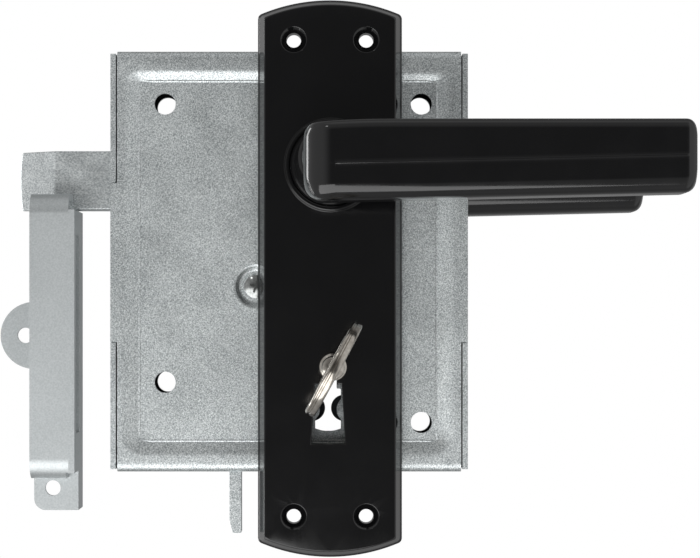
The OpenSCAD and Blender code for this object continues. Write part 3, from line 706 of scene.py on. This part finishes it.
@dataclass
class LongPlate:
    """Moulded plate with arched ends: rounded edge, countersunk holes, hub ring, keyhole, hollow back."""

    middle: Point2 = (-0.3, -33.4)
    half_w: float = 21.4
    half_h: float = 82.75
    end_r: float = 53.0
    thick: float = 7.0
    inner_y: float = -4.4
    screw_spread: Point2 = (10.7, 70.4)
    # Rounding where a long side meets an end, how fast it shrinks as the outline is drawn in, its least
    corner: float = 1.7
    corner_shrink: float = 0.45
    corner_least: float = 0.4
    # Profiles as inset or radius, and Y
    edge: Profile = (
        (0.25, 0.0), (0.0, -0.3), (0.0, -1.5), (0.1, -1.75), (0.42, -2.1), (0.6, -2.35), (0.75, -2.9),
        (1.85, -6.4), (1.95, -6.7), (2.1, -6.9), (2.35, -7.0))
    back_edge: Profile = ((0.25, 0.0), (2.2, 0.0), (2.5, -2.8), (3.1, -3.9), (4.2, -4.4))
    screw_hole: Profile = (
        (3.95, -7.0), (3.75, -6.9), (2.25, -5.3), (2.15, -5.1), (2.15, 0.0), (5.0, 0.0), (5.0, -4.4))
    hub: Profile = (
        (14.1, -7.0), (13.8, -7.1), (13.7, -7.4), (13.7, -8.15), (13.5, -8.5), (13.2, -8.6), (12.7, -8.6),
        (12.35, -8.5), (12.2, -8.2), (12.2, 0.0), (14.7, 0.0), (14.7, -4.4))
    key_lip: Profile = ((0.35, -7.0), (0.12, -6.9), (0.0, -6.65), (0.0, 0.0), (2.5, 0.0), (2.5, -4.4))
    # Keyhole's slot as X and Z, and the least cosine used where one of its corners is drawn out
    key_slot: Profile = (
        (-0.8, -64.7), (-4.75, -64.7), (-5.8, -82.3), (4.2, -82.3), (3.15, -64.7), (1.8, -64.7))
    least_cosine: float = 0.5
    # How finely each stretch is divided
    side_steps: int = 12
    corner_steps: int = 5
    end_steps: int = 14
    circle_steps: int = 56

    def outline(self, inset: float) -> list[Point2]:
        """Return the plate's outline, drawn in evenly.

        Args:
            inset: How far it is drawn in.

        Returns:
            Points of the closed outline, from the middle of the right side upwards.
        """
        half, radius = self.half_w - inset, self.end_r - inset
        corner = max(self.corner - self.corner_shrink * inset, self.corner_least)
        rise = self.half_h - self.end_r
        corner_x = half - corner
        corner_z = math.sqrt((radius - corner) ** 2 - corner_x ** 2)
        lean = math.atan2(corner_z, corner_x)
        quarter = [(half, (rise + corner_z) * k / self.side_steps) for k in range(self.side_steps)]
        turns = [lean * k / self.corner_steps for k in range(self.corner_steps + 1)]
        quarter += [(corner_x + corner * math.cos(turn), rise + corner_z + corner * math.sin(turn))
                    for turn in turns]
        turns = [lean + (math.pi / 2 - lean) * k / self.end_steps for k in range(1, self.end_steps + 1)]
        quarter += [(radius * math.cos(turn), rise + radius * math.sin(turn)) for turn in turns]
        upper = quarter + [(-x, z) for x, z in reversed(quarter[:-1])]
        whole = upper + [(x, -z) for x, z in reversed(upper[1:-1])]
        return [(self.middle[0] + x, self.middle[1] + z) for x, z in whole]

    def keyhole(self, out: float) -> list[Point2]:
        """Return the keyhole's outline, drawn outwards evenly.

        Args:
            out: How far it is drawn out.

        Returns:
            Points of the closed outline.
        """
        loop = [*shank_hole(), *self.key_slot]
        spread = []
        for k, (x, z) in enumerate(loop):
            before, here, after = Vector(loop[k - 1]), Vector((x, z)), Vector(loop[(k + 1) % len(loop)])
            first, second = (here - before).normalized(), (after - here).normalized()
            normal = Vector((first.y + second.y, -first.x - second.x)).normalized()
            reach = out / max(normal.dot(Vector((first.y, -first.x))), self.least_cosine)
            spread.append((x + normal.x * reach, z + normal.y * reach))
        return spread

    def build(self) -> None:
        """Make the plate as one closed moulding."""
        steps = self.circle_steps
        spots = [(self.middle[0] + side * self.screw_spread[0], self.middle[1] + end * self.screw_spread[1])
                 for side in (-1, 1) for end in (-1, 1)]
        skins = [[(self.outline(inset), y) for inset, y in side] for side in (self.edge, self.back_edge)]
        skins += [[(circle(x, z, radius, steps), y) for radius, y in self.screw_hole] for x, z in spots]
        skins.append([(circle(0.0, 0.0, radius, steps), y) for radius, y in self.hub])
        skins.append([(self.keyhole(out), y) for out, y in self.key_lip])
        points: list[Point3] = []
        faces: list[list[int]] = []
        for rings in skins:
            faces += rings_to_faces(len(rings), len(rings[0][0]), len(points), caps=False)
            points += [(x, y, z) for loop, y in rings for x, z in loop]
        for end, y, inset in ((0, -self.thick, self.edge[-1][0]), (-1, self.inner_y, self.back_edge[-1][0])):
            holes = [circle(x, z, self.screw_hole[end][0], steps) for x, z in spots]
            holes += [circle(0.0, 0.0, self.hub[end][0], steps), self.keyhole(self.key_lip[end][0])]
            flat, triangles = sheet_triangles([self.outline(inset)] + holes, [])
            faces += [[len(points) + i for i in face] for face in triangles]
            points += [(x, y, z) for x, z in flat]
        piece = make_piece("long_plate_moulding", points, faces, Finish.BLACK_PLATE, "case", "outer_plate")
        face_outwards(piece)
        Edges(0.0, shade_deg=32.0).apply(piece, weld=False, level=True)
        log.info("long_plate_moulding: %d points", len(points))


@dataclass
class CaseCover:
    """Cover pressed from zinc-plated sheet: soft-sided sunk panel, rolled ends, holes and dimple."""

    # Outline, side tabs, and the sheet's bends and walls at the top and bottom
    left: float = -63.75
    right: float = 38.85
    tab_left: float = -65.75
    tab_right: float = 40.85
    tab_low: float = -52.3
    tab_high: float = -4.9
    low: float = -91.0
    high: float = 34.5
    bend: float = 2.4
    wall_end: float = 14.3
    sheet: float = 1.2
    snib_slot: Point2 = (-30.7, -18.6)
    notch_depth: float = 4.2
    # Sunk panel, the slopes round it, and the crease at their foot as half width and height
    panel_x: Point2 = (-57.1, 31.5)
    panel_z: Point2 = (-81.75, 25.6)
    panel_round: float = 1.7
    slope_side: float = 5.6
    slope_top: float = 3.3
    slope_low: float = 4.5
    slope_power: float = 1.15
    panel_depth: float = 1.5
    crease: Point2 = (0.35, 0.2)
    # Dimple round the post, as inner and outer radius, and the radii of its rings of points
    post: Point2 = (-22.4, -35.7)
    dimple: Point2 = (4.6, 6.6)
    dimple_depth: float = 1.15
    dimple_rings: tuple[float, ...] = (4.0, 4.6, 5.1, 5.6, 6.1, 6.6)
    # Holes, and how far the sheet's grid of points keeps off the dimple and the holes
    post_hole: float = 2.0
    post_clear: float = 0.4
    hub_hole: float = 8.6
    hub_clear: float = 0.4
    screw_hole: float = 3.15
    screw_clear: float = 0.5
    screw_holes: Profile = ((-49.5, 18.8), (27.0, 18.8), (-49.5, -64.3), (27.0, -76.3))
    # Keyhole below its round part: way for the bit, two narrowing arcs, foot, and way back up
    key_way: Profile = (
        (-0.8, -66.2), (-4.7, -66.2), (-4.7, -66.7), (-3.3, -66.7), (-3.3, -68.7), (-4.7, -68.9))
    ward_x: Point2 = (-7.3, 5.7)
    ward_z: float = -72.4
    ward_round: float = 4.0
    ward_deg: tuple[float, ...] = (49.5, 40, 30, 20, 10, 0, -10, -20, -30, -40, -49.5)
    key_foot: Profile = ((-4.7, -78.1), (-2.8, -78.7), (-0.8, -78.95), (1.2, -78.7), (3.1, -78.1))
    key_return: Profile = ((3.1, -66.6), (2.7, -66.2), (1.8, -66.2))
    # How finely each stretch is divided, with further lines near the rim and on the walls
    across_steps: int = 26
    up_steps: int = 32
    slope_steps: int = 7
    low_steps: int = 8
    bend_steps: int = 8
    circle_steps: int = 40
    rim_insets: Point2 = (0.3, 0.6)
    rim_rows: Point2 = (-87.6, 30.4)
    wall_row: float = 6.0

    @property
    def arc(self) -> float:
        """Return the length of the sheet round one bend."""
        return self.bend * math.pi / 2

    @property
    def flats(self) -> Point2:
        """Return the heights where the flat front ends and the bends begin."""
        return self.low + self.bend, self.high - self.bend

    def relief(self, x: float, z: float) -> float:
        """Return how deep the pressed sheet lies under its rim.

        Args:
            x: Place across the front.
            z: Place up the front.

        Returns:
            The depth.
        """
        out_x = max(self.panel_x[0] + self.panel_round - x, 0.0, x - self.panel_x[1] + self.panel_round)
        out_low = max(self.panel_z[0] + self.panel_round - z, 0.0)
        out_high = max(z - self.panel_z[1] + self.panel_round, 0.0)
        out_z = out_low + out_high
        away = math.hypot(out_x, out_z)
        if away <= self.panel_round:
            depth = self.panel_depth
        else:
            slope_z = self.slope_low if out_low > 0 else self.slope_top
            width = (self.slope_side * out_x ** 2 + slope_z * out_z ** 2) / away ** 2
            share = min((away - self.panel_round) / width, 1.0)
            depth = self.panel_depth * (1 - math.sin(share * math.pi / 2) ** self.slope_power)
        depth -= self.crease[1] * max(1 - abs(away - self.panel_round) / self.crease[0], 0.0)
        near = math.hypot(x - self.post[0], z - self.post[1])
        share = clamped((self.dimple[1] - near) / (self.dimple[1] - self.dimple[0]))
        return depth + self.dimple_depth * (3 - 2 * share) * share * share

    def place(self, x: float, along: float) -> Point3:
        """Wrap a point of the flattened sheet round the bends at the top and bottom.

        Args:
            x: Place across the sheet.
            along: Place up the flattened sheet.

        Returns:
            The point on the cover's outer surface.
        """
        flat_low, flat_high = self.flats
        if flat_low <= along <= flat_high:
            return x, self.relief(x, along), along
        over = along - flat_high if along > flat_high else flat_low - along
        if over < self.arc:
            turn = over / self.bend
            rise, depth = self.bend * math.sin(turn), self.bend * (1 - math.cos(turn))
        else:
            rise, depth = self.bend, self.bend + over - self.arc
        return (x, depth, flat_high + rise) if along > flat_high else (x, depth, flat_low - rise)

    def keyhole(self) -> list[Point2]:
        """Return the keyhole's outline: shank hole, way for the bit, and slot with two narrowing arcs.

        Returns:
            Points of the closed outline.
        """
        turns = [math.radians(a) for a in self.ward_deg]
        ward = [(self.ward_round * math.cos(turn), self.ward_round * math.sin(turn)) for turn in turns]
        left = [(self.ward_x[0] + x, self.ward_z + z) for x, z in ward]
        right = [(self.ward_x[1] - x, self.ward_z - z) for x, z in ward]
        return [*shank_hole(), *self.key_way, *left, *self.key_foot, *right, *self.key_return]

    def outline(self) -> list[Point2]:
        """Return the flattened sheet's outline with its side tabs and the snib's notch.

        Returns:
            Points of the closed outline.
        """
        flat_low, flat_high = self.flats
        reach_high = flat_high + self.arc + self.wall_end - self.bend
        reach_low = flat_low - self.arc - (self.wall_end - self.bend)
        notch = flat_low - self.arc - (self.notch_depth - self.bend)
        return [(self.left, reach_low), (self.snib_slot[0], reach_low), (self.snib_slot[0], notch),
                (self.snib_slot[1], notch), (self.snib_slot[1], reach_low), (self.right, reach_low),
                (self.right, self.tab_low), (self.tab_right, self.tab_low),
                (self.tab_right, self.tab_high), (self.right, self.tab_high), (self.right, reach_high),
                (self.left, reach_high), (self.left, self.tab_high), (self.tab_left, self.tab_high),
                (self.tab_left, self.tab_low), (self.left, self.tab_low)]

    def columns(self) -> list[float]:
        """Return the places across the sheet that have a line of points.

        Returns:
            Places in rising order.
        """
        start, end = self.panel_x
        count, slope = self.across_steps, self.slope_steps
        inner = [start + (end - start) * k / count for k in range(count + 1)]
        left = [start - self.slope_side * k / slope for k in range(1, slope + 1)]
        right = [end + self.slope_side * k / slope for k in range(1, slope + 1)]
        creases = [x + side * self.crease[0] for x in self.panel_x for side in (-1, 1)]
        rims = [self.left + self.rim_insets[0], self.right - self.rim_insets[1]]
        return sorted(left + inner + right + creases + rims)

    def rows(self) -> list[float]:
        """Return the places up the flattened sheet that have a line of points.

        Returns:
            Places in rising order.
        """
        start, end = self.panel_z
        flat_low, flat_high = self.flats
        count, slope, foot, arc = self.up_steps, self.slope_steps, self.low_steps, self.bend_steps
        inner = [start + (end - start) * k / count for k in range(count + 1)]
        low = [start - self.slope_low * k / foot for k in range(1, foot + 1)]
        high = [end + self.slope_top * k / slope for k in range(1, slope + 1)]
        bends = [flat_low - self.arc * k / arc for k in range(arc + 1)]
        bends += [flat_high + self.arc * k / arc for k in range(arc + 1)]
        walls = [flat_low - self.arc - self.wall_row, flat_high + self.arc + self.wall_row]
        creases = [z + side * self.crease[0] for z in self.panel_z for side in (-1, 1)]
        return sorted(low + inner + high + bends + walls + creases + list(self.rim_rows))

    def holes(self) -> list[list[Point2]]:
        """Return the outlines of all holes in the front.

        Returns:
            One closed outline for each hole, the keyhole's last.
        """
        spots = [(x, z, self.screw_hole) for x, z in self.screw_holes]
        spots += [(0.0, 0.0, self.hub_hole), (*self.post, self.post_hole)]
        return [circle(x, z, radius, self.circle_steps) for x, z, radius in spots] + [self.keyhole()]

    def build(self) -> None:
        """Make the cover as one bent sheet."""
        points: list[Point2] = []
        for radius in self.dimple_rings:
            points += circle(*self.post, radius, self.circle_steps)
        clearings = [(x, z, self.screw_hole + self.screw_clear) for x, z in self.screw_holes]
        clearings += [(0.0, 0.0, self.hub_hole + self.hub_clear),
                      (*self.post, self.dimple[1] + self.post_clear)]
        keyhole = self.keyhole()
        for x in self.columns() + [self.left, self.right]:
            for along in self.rows():
                clear = all(math.hypot(x - cx, along - cz) > radius for cx, cz, radius in clearings)
                if clear and not inside((x, along), keyhole):
                    points.append((x, along))
        used, kept = sheet_triangles([self.outline()] + self.holes(), points)
        piece = make_piece("pressed_cover", [self.place(*p) for p in used], kept, Finish.ZINC_SHEET, "case",
                           "case_cover")
        thick = piece.modifiers.new("sheet_thickness", "SOLIDIFY")
        thick.thickness = self.sheet * MM
        thick.offset = -1.0
        thick.use_even_offset = True
        Edges(0.45, 50.0, 14.0, 3).apply(piece, weld=False)
        log.info("pressed_cover: %d points", len(used))


@dataclass
class BowKey:
    """Nickel-plated key: grooved ring bow, round shank with a collar, and a warded bit."""

    turn_deg: float = 28.3
    # Ring bow: section with rounded corners, and a groove as place and share of the depth
    bow_y: float = -51.0
    bow_outer: float = 14.5
    bow_inner: float = 10.5
    bow_half: float = 1.55
    bow_round: float = 0.65
    corner_step: int = 30
    groove_x: float = -0.35
    groove_half: float = 0.3
    groove_depth: float = 0.3
    groove_section: Profile = ((1.4, 0.0), (0.6, 1.0), (-0.6, 1.0), (-1.4, 0.0))
    bow_sides: int = 96
    # Shank as Y and radius, and the bit's outline as Y and height
    shank: Profile = (
        (-39.3, 0.8), (-39.15, 2.5), (-38.9, 3.05), (-38.6, 3.2), (-25.2, 3.2), (-25.0, 3.7), (-24.8, 3.9),
        (-20.4, 3.9), (-20.0, 3.6), (-19.8, 3.2), (14.8, 3.2), (15.5, 2.6))
    shank_sides: int = 48
    bit_half: float = 1.2
    bit: Profile = (
        (3.4, -0.5), (3.4, -19.0), (9.3, -19.0), (9.3, -12.0), (10.5, -12.0), (10.5, -19.0),
        (11.4, -19.0), (11.4, -0.5))

    def bow_section(self) -> list[Point2]:
        """Return the section of the ring bow, with its groove on the rim.

        Returns:
            Points as X and radius.
        """
        half, r = self.bow_half, self.bow_round
        section = []
        for x, radius, start in ((half, self.bow_outer, 0), (-half, self.bow_outer, 90),
                                 (-half, self.bow_inner, 180), (half, self.bow_inner, 270)):
            side = 1 if x > 0 else -1
            middle = radius - r if radius == self.bow_outer else radius + r
            turns = [math.radians(start + turn) for turn in range(0, 91, self.corner_step)]
            section += [(x - side * r + r * math.cos(turn), middle + r * math.sin(turn)) for turn in turns]
            if start == 0:
                section += [(self.groove_x + place * self.groove_half,
                             self.bow_outer - share * self.groove_depth)
                            for place, share in self.groove_section]
        return section

    def turned(self, point: Point3) -> Point3:
        """Turn a point of the upright key to its place in the lock.

        Args:
            point: Point of a key that hangs straight down from its axis.

        Returns:
            The point in the frame.
        """
        turn = math.radians(self.turn_deg)
        x, y, z = point
        return (KEY_AXIS[0] + x * math.cos(turn) + z * math.sin(turn), y,
                KEY_AXIS[1] - x * math.sin(turn) + z * math.cos(turn))

    def build(self) -> None:
        """Make the key as one piece."""
        section, around = self.bow_section(), self.bow_sides
        points: list[Point3] = []
        for k in range(around):
            turn = math.tau * k / around
            points += [(x, self.bow_y + radius * math.cos(turn), radius * math.sin(turn))
                       for x, radius in section]
        size = len(section)
        faces = [[k * size + i, k * size + (i + 1) % size, (k + 1) % around * size + (i + 1) % size,
                  (k + 1) % around * size + i] for k in range(around) for i in range(size)]
        faces += rings_to_faces(len(self.shank), self.shank_sides, len(points))
        points += turned_rings(self.shank, self.shank_sides)
        faces += rings_to_faces(2, len(self.bit), len(points))
        points += [(x, y, z) for x in (-self.bit_half, self.bit_half) for y, z in self.bit]
        piece = make_piece("bow_key", [self.turned(p) for p in points], faces, Finish.NICKEL, "key", "key")
        face_outwards(piece)
        Edges(0.2, 60.0, 32.0).apply(piece, weld=False)
        log.info("bow_key: %d points", len(points))


@dataclass
class Hardware:
    """The frame's own solids that keep their shape, with their finish and edges."""

    dress: dict[str, tuple[Finish, Edges]] = field(default_factory=lambda: {
        "case_back": (Finish.ZINC_SHEET, Edges(0.3, 50.0)),
        "cover_screw": (Finish.BRIGHT_ZINC, Edges(0.0)),
        "cover_post": (Finish.DRAWN_STEEL, Edges(0.2)),
        "bolt_guide_pin": (Finish.DRAWN_STEEL, Edges(0.2)),
        "snib_guide_pins": (Finish.DRAWN_STEEL, Edges(0.2)),
        "tumbler_pin": (Finish.DRAWN_STEEL, Edges(0.2)),
        "spring_anchor": (Finish.DRAWN_STEEL, Edges(0.2)),
        "spring_stop": (Finish.ZINC_SHEET, Edges(0.2)),
        "spindle": (Finish.DRAWN_STEEL, Edges(0.3)),
        "lever_pins": (Finish.DRAWN_STEEL, Edges(0.3)),
        "follower": (Finish.BRASS, Edges(0.3)),
        "latch_bolt": (Finish.MILLED_STEEL, Edges(0.5, 20.0, 16.0, 3)),
        "latch_tail": (Finish.ZINC_SHEET, Edges(0.2)),
        "dead_bolt": (Finish.MILLED_STEEL, Edges(0.35)),
        "bolt_tail": (Finish.ZINC_SHEET, Edges(0.2)),
        "tumbler": (Finish.BRASS, Edges(0.2)),
        "snib": (Finish.ZINC_SHEET, Edges(0.3)),
        "keeper": (Finish.SATIN_ZINC, Edges(0.35, 35.0, 25.0, 3)),
    })

    def build(self) -> None:
        """Give each solid its finish and soft edges."""
        for node, (finish, edges) in self.dress.items():
            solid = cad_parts[node]
            solid.data.materials.clear()
            solid.data.materials.append(finish.made())
            edges.apply(solid)
            log.info("%s: %s", node, finish.value.name)


@dataclass
class Springs:
    """The latch's coil spring and the tumbler's leaf spring, each a copy of its solid."""

    # End of the coil that the case holds, its length at rest, and how far the latch presses it
    coil_held: Point3 = (-15.55, 7.5, 9.0)
    coil_length: float = 30.4
    coil_press: float = 24.6
    # Where the leaf still follows the case, and where it follows the tumbler
    leaf_root: Point3 = (30.0, 5.5, -21.0)
    leaf_tip: Point3 = (-2.0, 5.5, -23.5)

    @staticmethod
    def wire(node: str) -> bpy.types.Object:
        """Make a piece in the shape of a spring's solid, which it replaces.

        Args:
            node: Node of the solid.

        Returns:
            The new object, which rides on nothing yet.
        """
        piece = bpy.data.objects.new(f"{node}_wire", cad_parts[node].data.copy())
        bpy.context.scene.collection.objects.link(piece)
        piece.data.materials.clear()
        piece.data.materials.append(Finish.BRIGHT_ZINC.made())
        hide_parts(node)
        face_outwards(piece)
        Edges(0.0, shade_deg=70.0).apply(piece, weld=False)
        return piece

    def build(self) -> None:
        """Make the two springs: the coil rides on the case with a mesh of its own, and the leaf's place is
        set into its mesh.
        """
        coil = self.wire("latch_spring")
        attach(coil, "case")
        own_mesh(coil)
        leaf = self.wire("tumbler_spring")
        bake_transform(leaf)
        log.info("springs ready")


@dataclass
class Studio:
    """Camera, soft lights, white surround and a pale floor.

    Camera and floor are in millimetres, and the lamps in metres. Each band of the surround is a part of
    the ray's direction, where a smooth change begins and ends along it, and the levels at its two ends.
    """

    camera_at: Point3 = (-3.26, -700.0, -47.2)
    lens_mm: float = 120.8
    sensor_mm: float = 36.0
    shift: Point2 = (0.0429, 0.0657)
    clip_m: Point2 = (0.01, 20.0)
    # Lamps: name, place, width and height, and how bright the face is, where 1 is white
    lamps: tuple[tuple[str, Point3, Point2, float], ...] = (
        ("low_softbox", (-0.45, -0.80, -0.77), (1.35, 1.2), 2.3),
        ("left_strip", (-1.05, 0.55, -0.1), (0.25, 1.3), 5.0),
        ("top_spot", (-0.45, -0.65, 0.75), (0.1, 0.1), 10.0))
    lamp_aim: Point3 = (0.0, 0.0, -0.03)
    # Floor: height, half width, and the distances in metres between which it fades out
    floor_z: float = -200.0
    floor_half: float = 800.0
    floor_fade: Point2 = (0.35, 0.79)
    # Level of the studio in front by height, from straight down at 0 to straight up at 1
    front_levels: Profile = ((0.0, 0.4), (0.38, 0.3), (0.46, 0.12), (0.57, 0.10), (0.70, 0.25), (0.82, 0.38),
                             (0.93, 0.38), (1.0, 0.7))
    # Levels of the walls on both sides, and the share of the backdrop's white that metal mirrors
    wall_levels: dict[str, float] = field(default_factory=lambda: {"left": 0.54, "right": 0.75})
    mirrored_white: float = 0.12
    bands: dict[str, tuple[str, Point2, Point2]] = field(default_factory=lambda: {
        "left": ("x", (-0.15, -0.75), (0.0, 1.0)),
        "right": ("x", (0.15, 0.4), (0.0, 1.0)),
        "behind": ("y", (-0.05, 0.35), (0.0, 1.0)),
        "steep": ("slope", (0.3, 0.65), (1.0, 0.5)),
        "leftward": ("x", (0.1, -0.5), (0.35, 0.6)),
        "straight": ("y", (0.8, 0.97), (1.0, 0.35))})

    def camera(self) -> None:
        """Set up the camera of the photograph."""
        data = bpy.data.cameras.new("photo_camera")
        data.lens, data.sensor_width = self.lens_mm, self.sensor_mm
        data.shift_x, data.shift_y = self.shift
        data.clip_start, data.clip_end = self.clip_m
        camera = bpy.data.objects.new("photo_camera", data)
        camera.location = [c * MM for c in self.camera_at]
        camera.rotation_euler = (math.radians(90), 0.0, 0.0)
        bpy.context.scene.collection.objects.link(camera)
        bpy.context.scene.camera = camera

    def lamp(self, name: str, at: Point3, size: Point2, radiance: float) -> None:
        """Add a softbox that faces the lock.

        Args:
            name: Name of the lamp.
            at: Its place in metres.
            size: Its width and height in metres.
            radiance: How bright its face is, where 1 is white.
        """
        data = bpy.data.lights.new(name, "AREA")
        data.shape, data.size, data.size_y = "RECTANGLE", size[0], size[1]
        data.energy = radiance * math.pi * size[0] * size[1]
        lamp = bpy.data.objects.new(name, data)
        lamp.location = at
        aim = Vector(self.lamp_aim) - Vector(at)
        lamp.rotation_euler = aim.to_track_quat("-Z", "Y").to_euler()
        lamp.visible_camera = False
        bpy.context.scene.collection.objects.link(lamp)

    def studio_level(self, tree: bpy.types.NodeTree) -> dict[str, bpy.types.NodeSocket]:
        """Add the nodes for the level of light that the lock receives from each direction.

        Args:
            tree: The world's node tree.

        Returns:
            Socket with that level, as "studio", and one with how far the ray goes behind, as "behind".
        """
        way = add_node(tree, "ShaderNodeTexCoord").outputs["Generated"]
        parts = dict(zip("xyz", add_node(tree, "ShaderNodeSeparateXYZ", {}, {0: way}).outputs))
        parts["slope"] = add_node(tree, "ShaderNodeMath", {"operation": "ABSOLUTE"},
                                  {0: parts["z"]}).outputs[0]
        level = {}
        for name, (axis, span, ends) in self.bands.items():
            level[name] = add_node(tree, "ShaderNodeMapRange", {
                "interpolation_type": "SMOOTHSTEP", "From Min": span[0], "From Max": span[1],
                "To Min": ends[0], "To Max": ends[1]}, {"Value": parts[axis]}).outputs[0]
        height = add_node(tree, "ShaderNodeMapRange", {"From Min": -1.0, "From Max": 1.0},
                          {"Value": parts["z"]}).outputs[0]
        front = add_node(tree, "ShaderNodeValToRGB", {}, {0: height})
        ramp = front.color_ramp.elements
        while len(ramp) < len(self.front_levels):
            ramp.new(0.5)
        for step, (where, grey) in zip(ramp, self.front_levels):
            step.position, step.color = where, (grey, grey, grey, 1.0)
        sides = front.outputs[0]
        for wall, grey in self.wall_levels.items():
            sides = add_node(tree, "ShaderNodeMix", {"data_type": "RGBA", 7: (grey, grey, grey, 1.0)},
                             {0: level[wall], 6: sides}).outputs[2]
        pale = level["steep"]
        for name in ("leftward", "straight"):
            pale = add_node(tree, "ShaderNodeMath", {"operation": "MULTIPLY"},
                            {0: pale, 1: level[name]}).outputs[0]
        studio = add_node(tree, "ShaderNodeMix", {"data_type": "RGBA"},
                          {0: level["behind"], 6: sides, 7: pale}).outputs[2]
        return {"studio": studio, "behind": level["behind"]}

    def surround(self) -> None:
        """Give the world a white backdrop behind the lock and a dim studio in front of it."""
        world = bpy.data.worlds.new("white_studio")
        bpy.context.scene.world = world
        world.use_nodes = True
        tree = world.node_tree
        tree.nodes.clear()
        level = self.studio_level(tree)
        rays = add_node(tree, "ShaderNodeLightPath").outputs
        seen = add_node(tree, "ShaderNodeMath", {"operation": "MAXIMUM"},
                        {0: rays["Is Camera Ray"], 1: rays["Is Transmission Ray"]}).outputs[0]
        mirrored = add_node(tree, "ShaderNodeMapRange", {"To Max": self.mirrored_white},
                            {"Value": rays["Is Glossy Ray"]}).outputs[0]
        mirrored = add_node(tree, "ShaderNodeMath", {"operation": "MULTIPLY"},
                            {0: mirrored, 1: level["behind"]}).outputs[0]
        seen = add_node(tree, "ShaderNodeMath", {"operation": "MAXIMUM"}, {0: seen, 1: mirrored}).outputs[0]
        colour = add_node(tree, "ShaderNodeMix", {"data_type": "RGBA", 7: (1.0, 1.0, 1.0, 1.0)},
                          {0: seen, 6: level["studio"]}).outputs[2]
        shader = add_node(tree, "ShaderNodeBackground", {"Strength": 1.0}, {"Color": colour}).outputs[0]
        add_node(tree, "ShaderNodeOutputWorld", {}, {"Surface": shader})

    def floor(self) -> None:
        """Lay a pale floor under the lock, which takes its shadow but doesn't hide the lights."""
        half, high = self.floor_half * MM, self.floor_z * MM
        mesh = bpy.data.meshes.new("pale_floor")
        mesh.from_pydata([(-half, -half, high), (half, -half, high), (half, half, high), (-half, half, high)],
                         [], [(0, 1, 2, 3)])
        material = empty_material("pale_matt_floor")
        tree = material.node_tree
        place = add_node(tree, "ShaderNodeTexCoord").outputs["Object"]
        cloud = add_node(tree, "ShaderNodeTexNoise", {"Scale": 3.0}, {"Vector": place}).outputs[0]
        colour = add_node(tree, "ShaderNodeMix", {"data_type": "RGBA", 6: linear("#F2F1EE"),
                                                  7: linear("#F7F6F4")}, {0: cloud}).outputs[2]
        shader = add_node(tree, "ShaderNodeBsdfPrincipled", {"Roughness": 0.9},
                          {"Base Color": colour}).outputs[0]
        away = add_node(tree, "ShaderNodeVectorMath", {"operation": "LENGTH"}, {0: place}).outputs["Value"]
        fade = add_node(tree, "ShaderNodeMapRange", {
            "interpolation_type": "SMOOTHSTEP", "From Min": self.floor_fade[0],
            "From Max": self.floor_fade[1]}, {"Value": away}).outputs[0]
        clear = add_node(tree, "ShaderNodeBsdfTransparent").outputs[0]
        mixed = add_node(tree, "ShaderNodeMixShader", {}, {0: fade, 1: shader, 2: clear}).outputs[0]
        add_node(tree, "ShaderNodeOutputMaterial", {}, {"Surface": mixed})
        mesh.materials.append(material)
        floor = bpy.data.objects.new("pale_floor", mesh)
        bpy.context.scene.collection.objects.link(floor)
        floor.visible_shadow = floor.visible_glossy = floor.visible_diffuse = False
        floor.visible_transmission = False

    def build(self) -> None:
        """Set up the whole studio."""
        self.camera()
        self.surround()
        self.floor()
        for name, at, size, radiance in self.lamps:
            self.lamp(name, at, size, radiance)
        bpy.context.scene.view_settings.view_transform = "Standard"
        log.info("studio ready")


def main() -> None:
    """Build the studio and the lock's pieces in order."""
    logging.basicConfig(level=logging.INFO, format="%(name)s: %(message)s")
    Studio().build()
    Hardware().build()
    CaseCover().build()
    LongPlate().build()
    LeverHandle("outer_lever_moulding", "outer_lever").build()
    LeverHandle("inner_lever_moulding", "inner_lever", inner=True, back_round=6.5, neck_end=-5.3).build()
    BowKey().build()
    Springs().build()


if __name__ == "__main__":
    main()
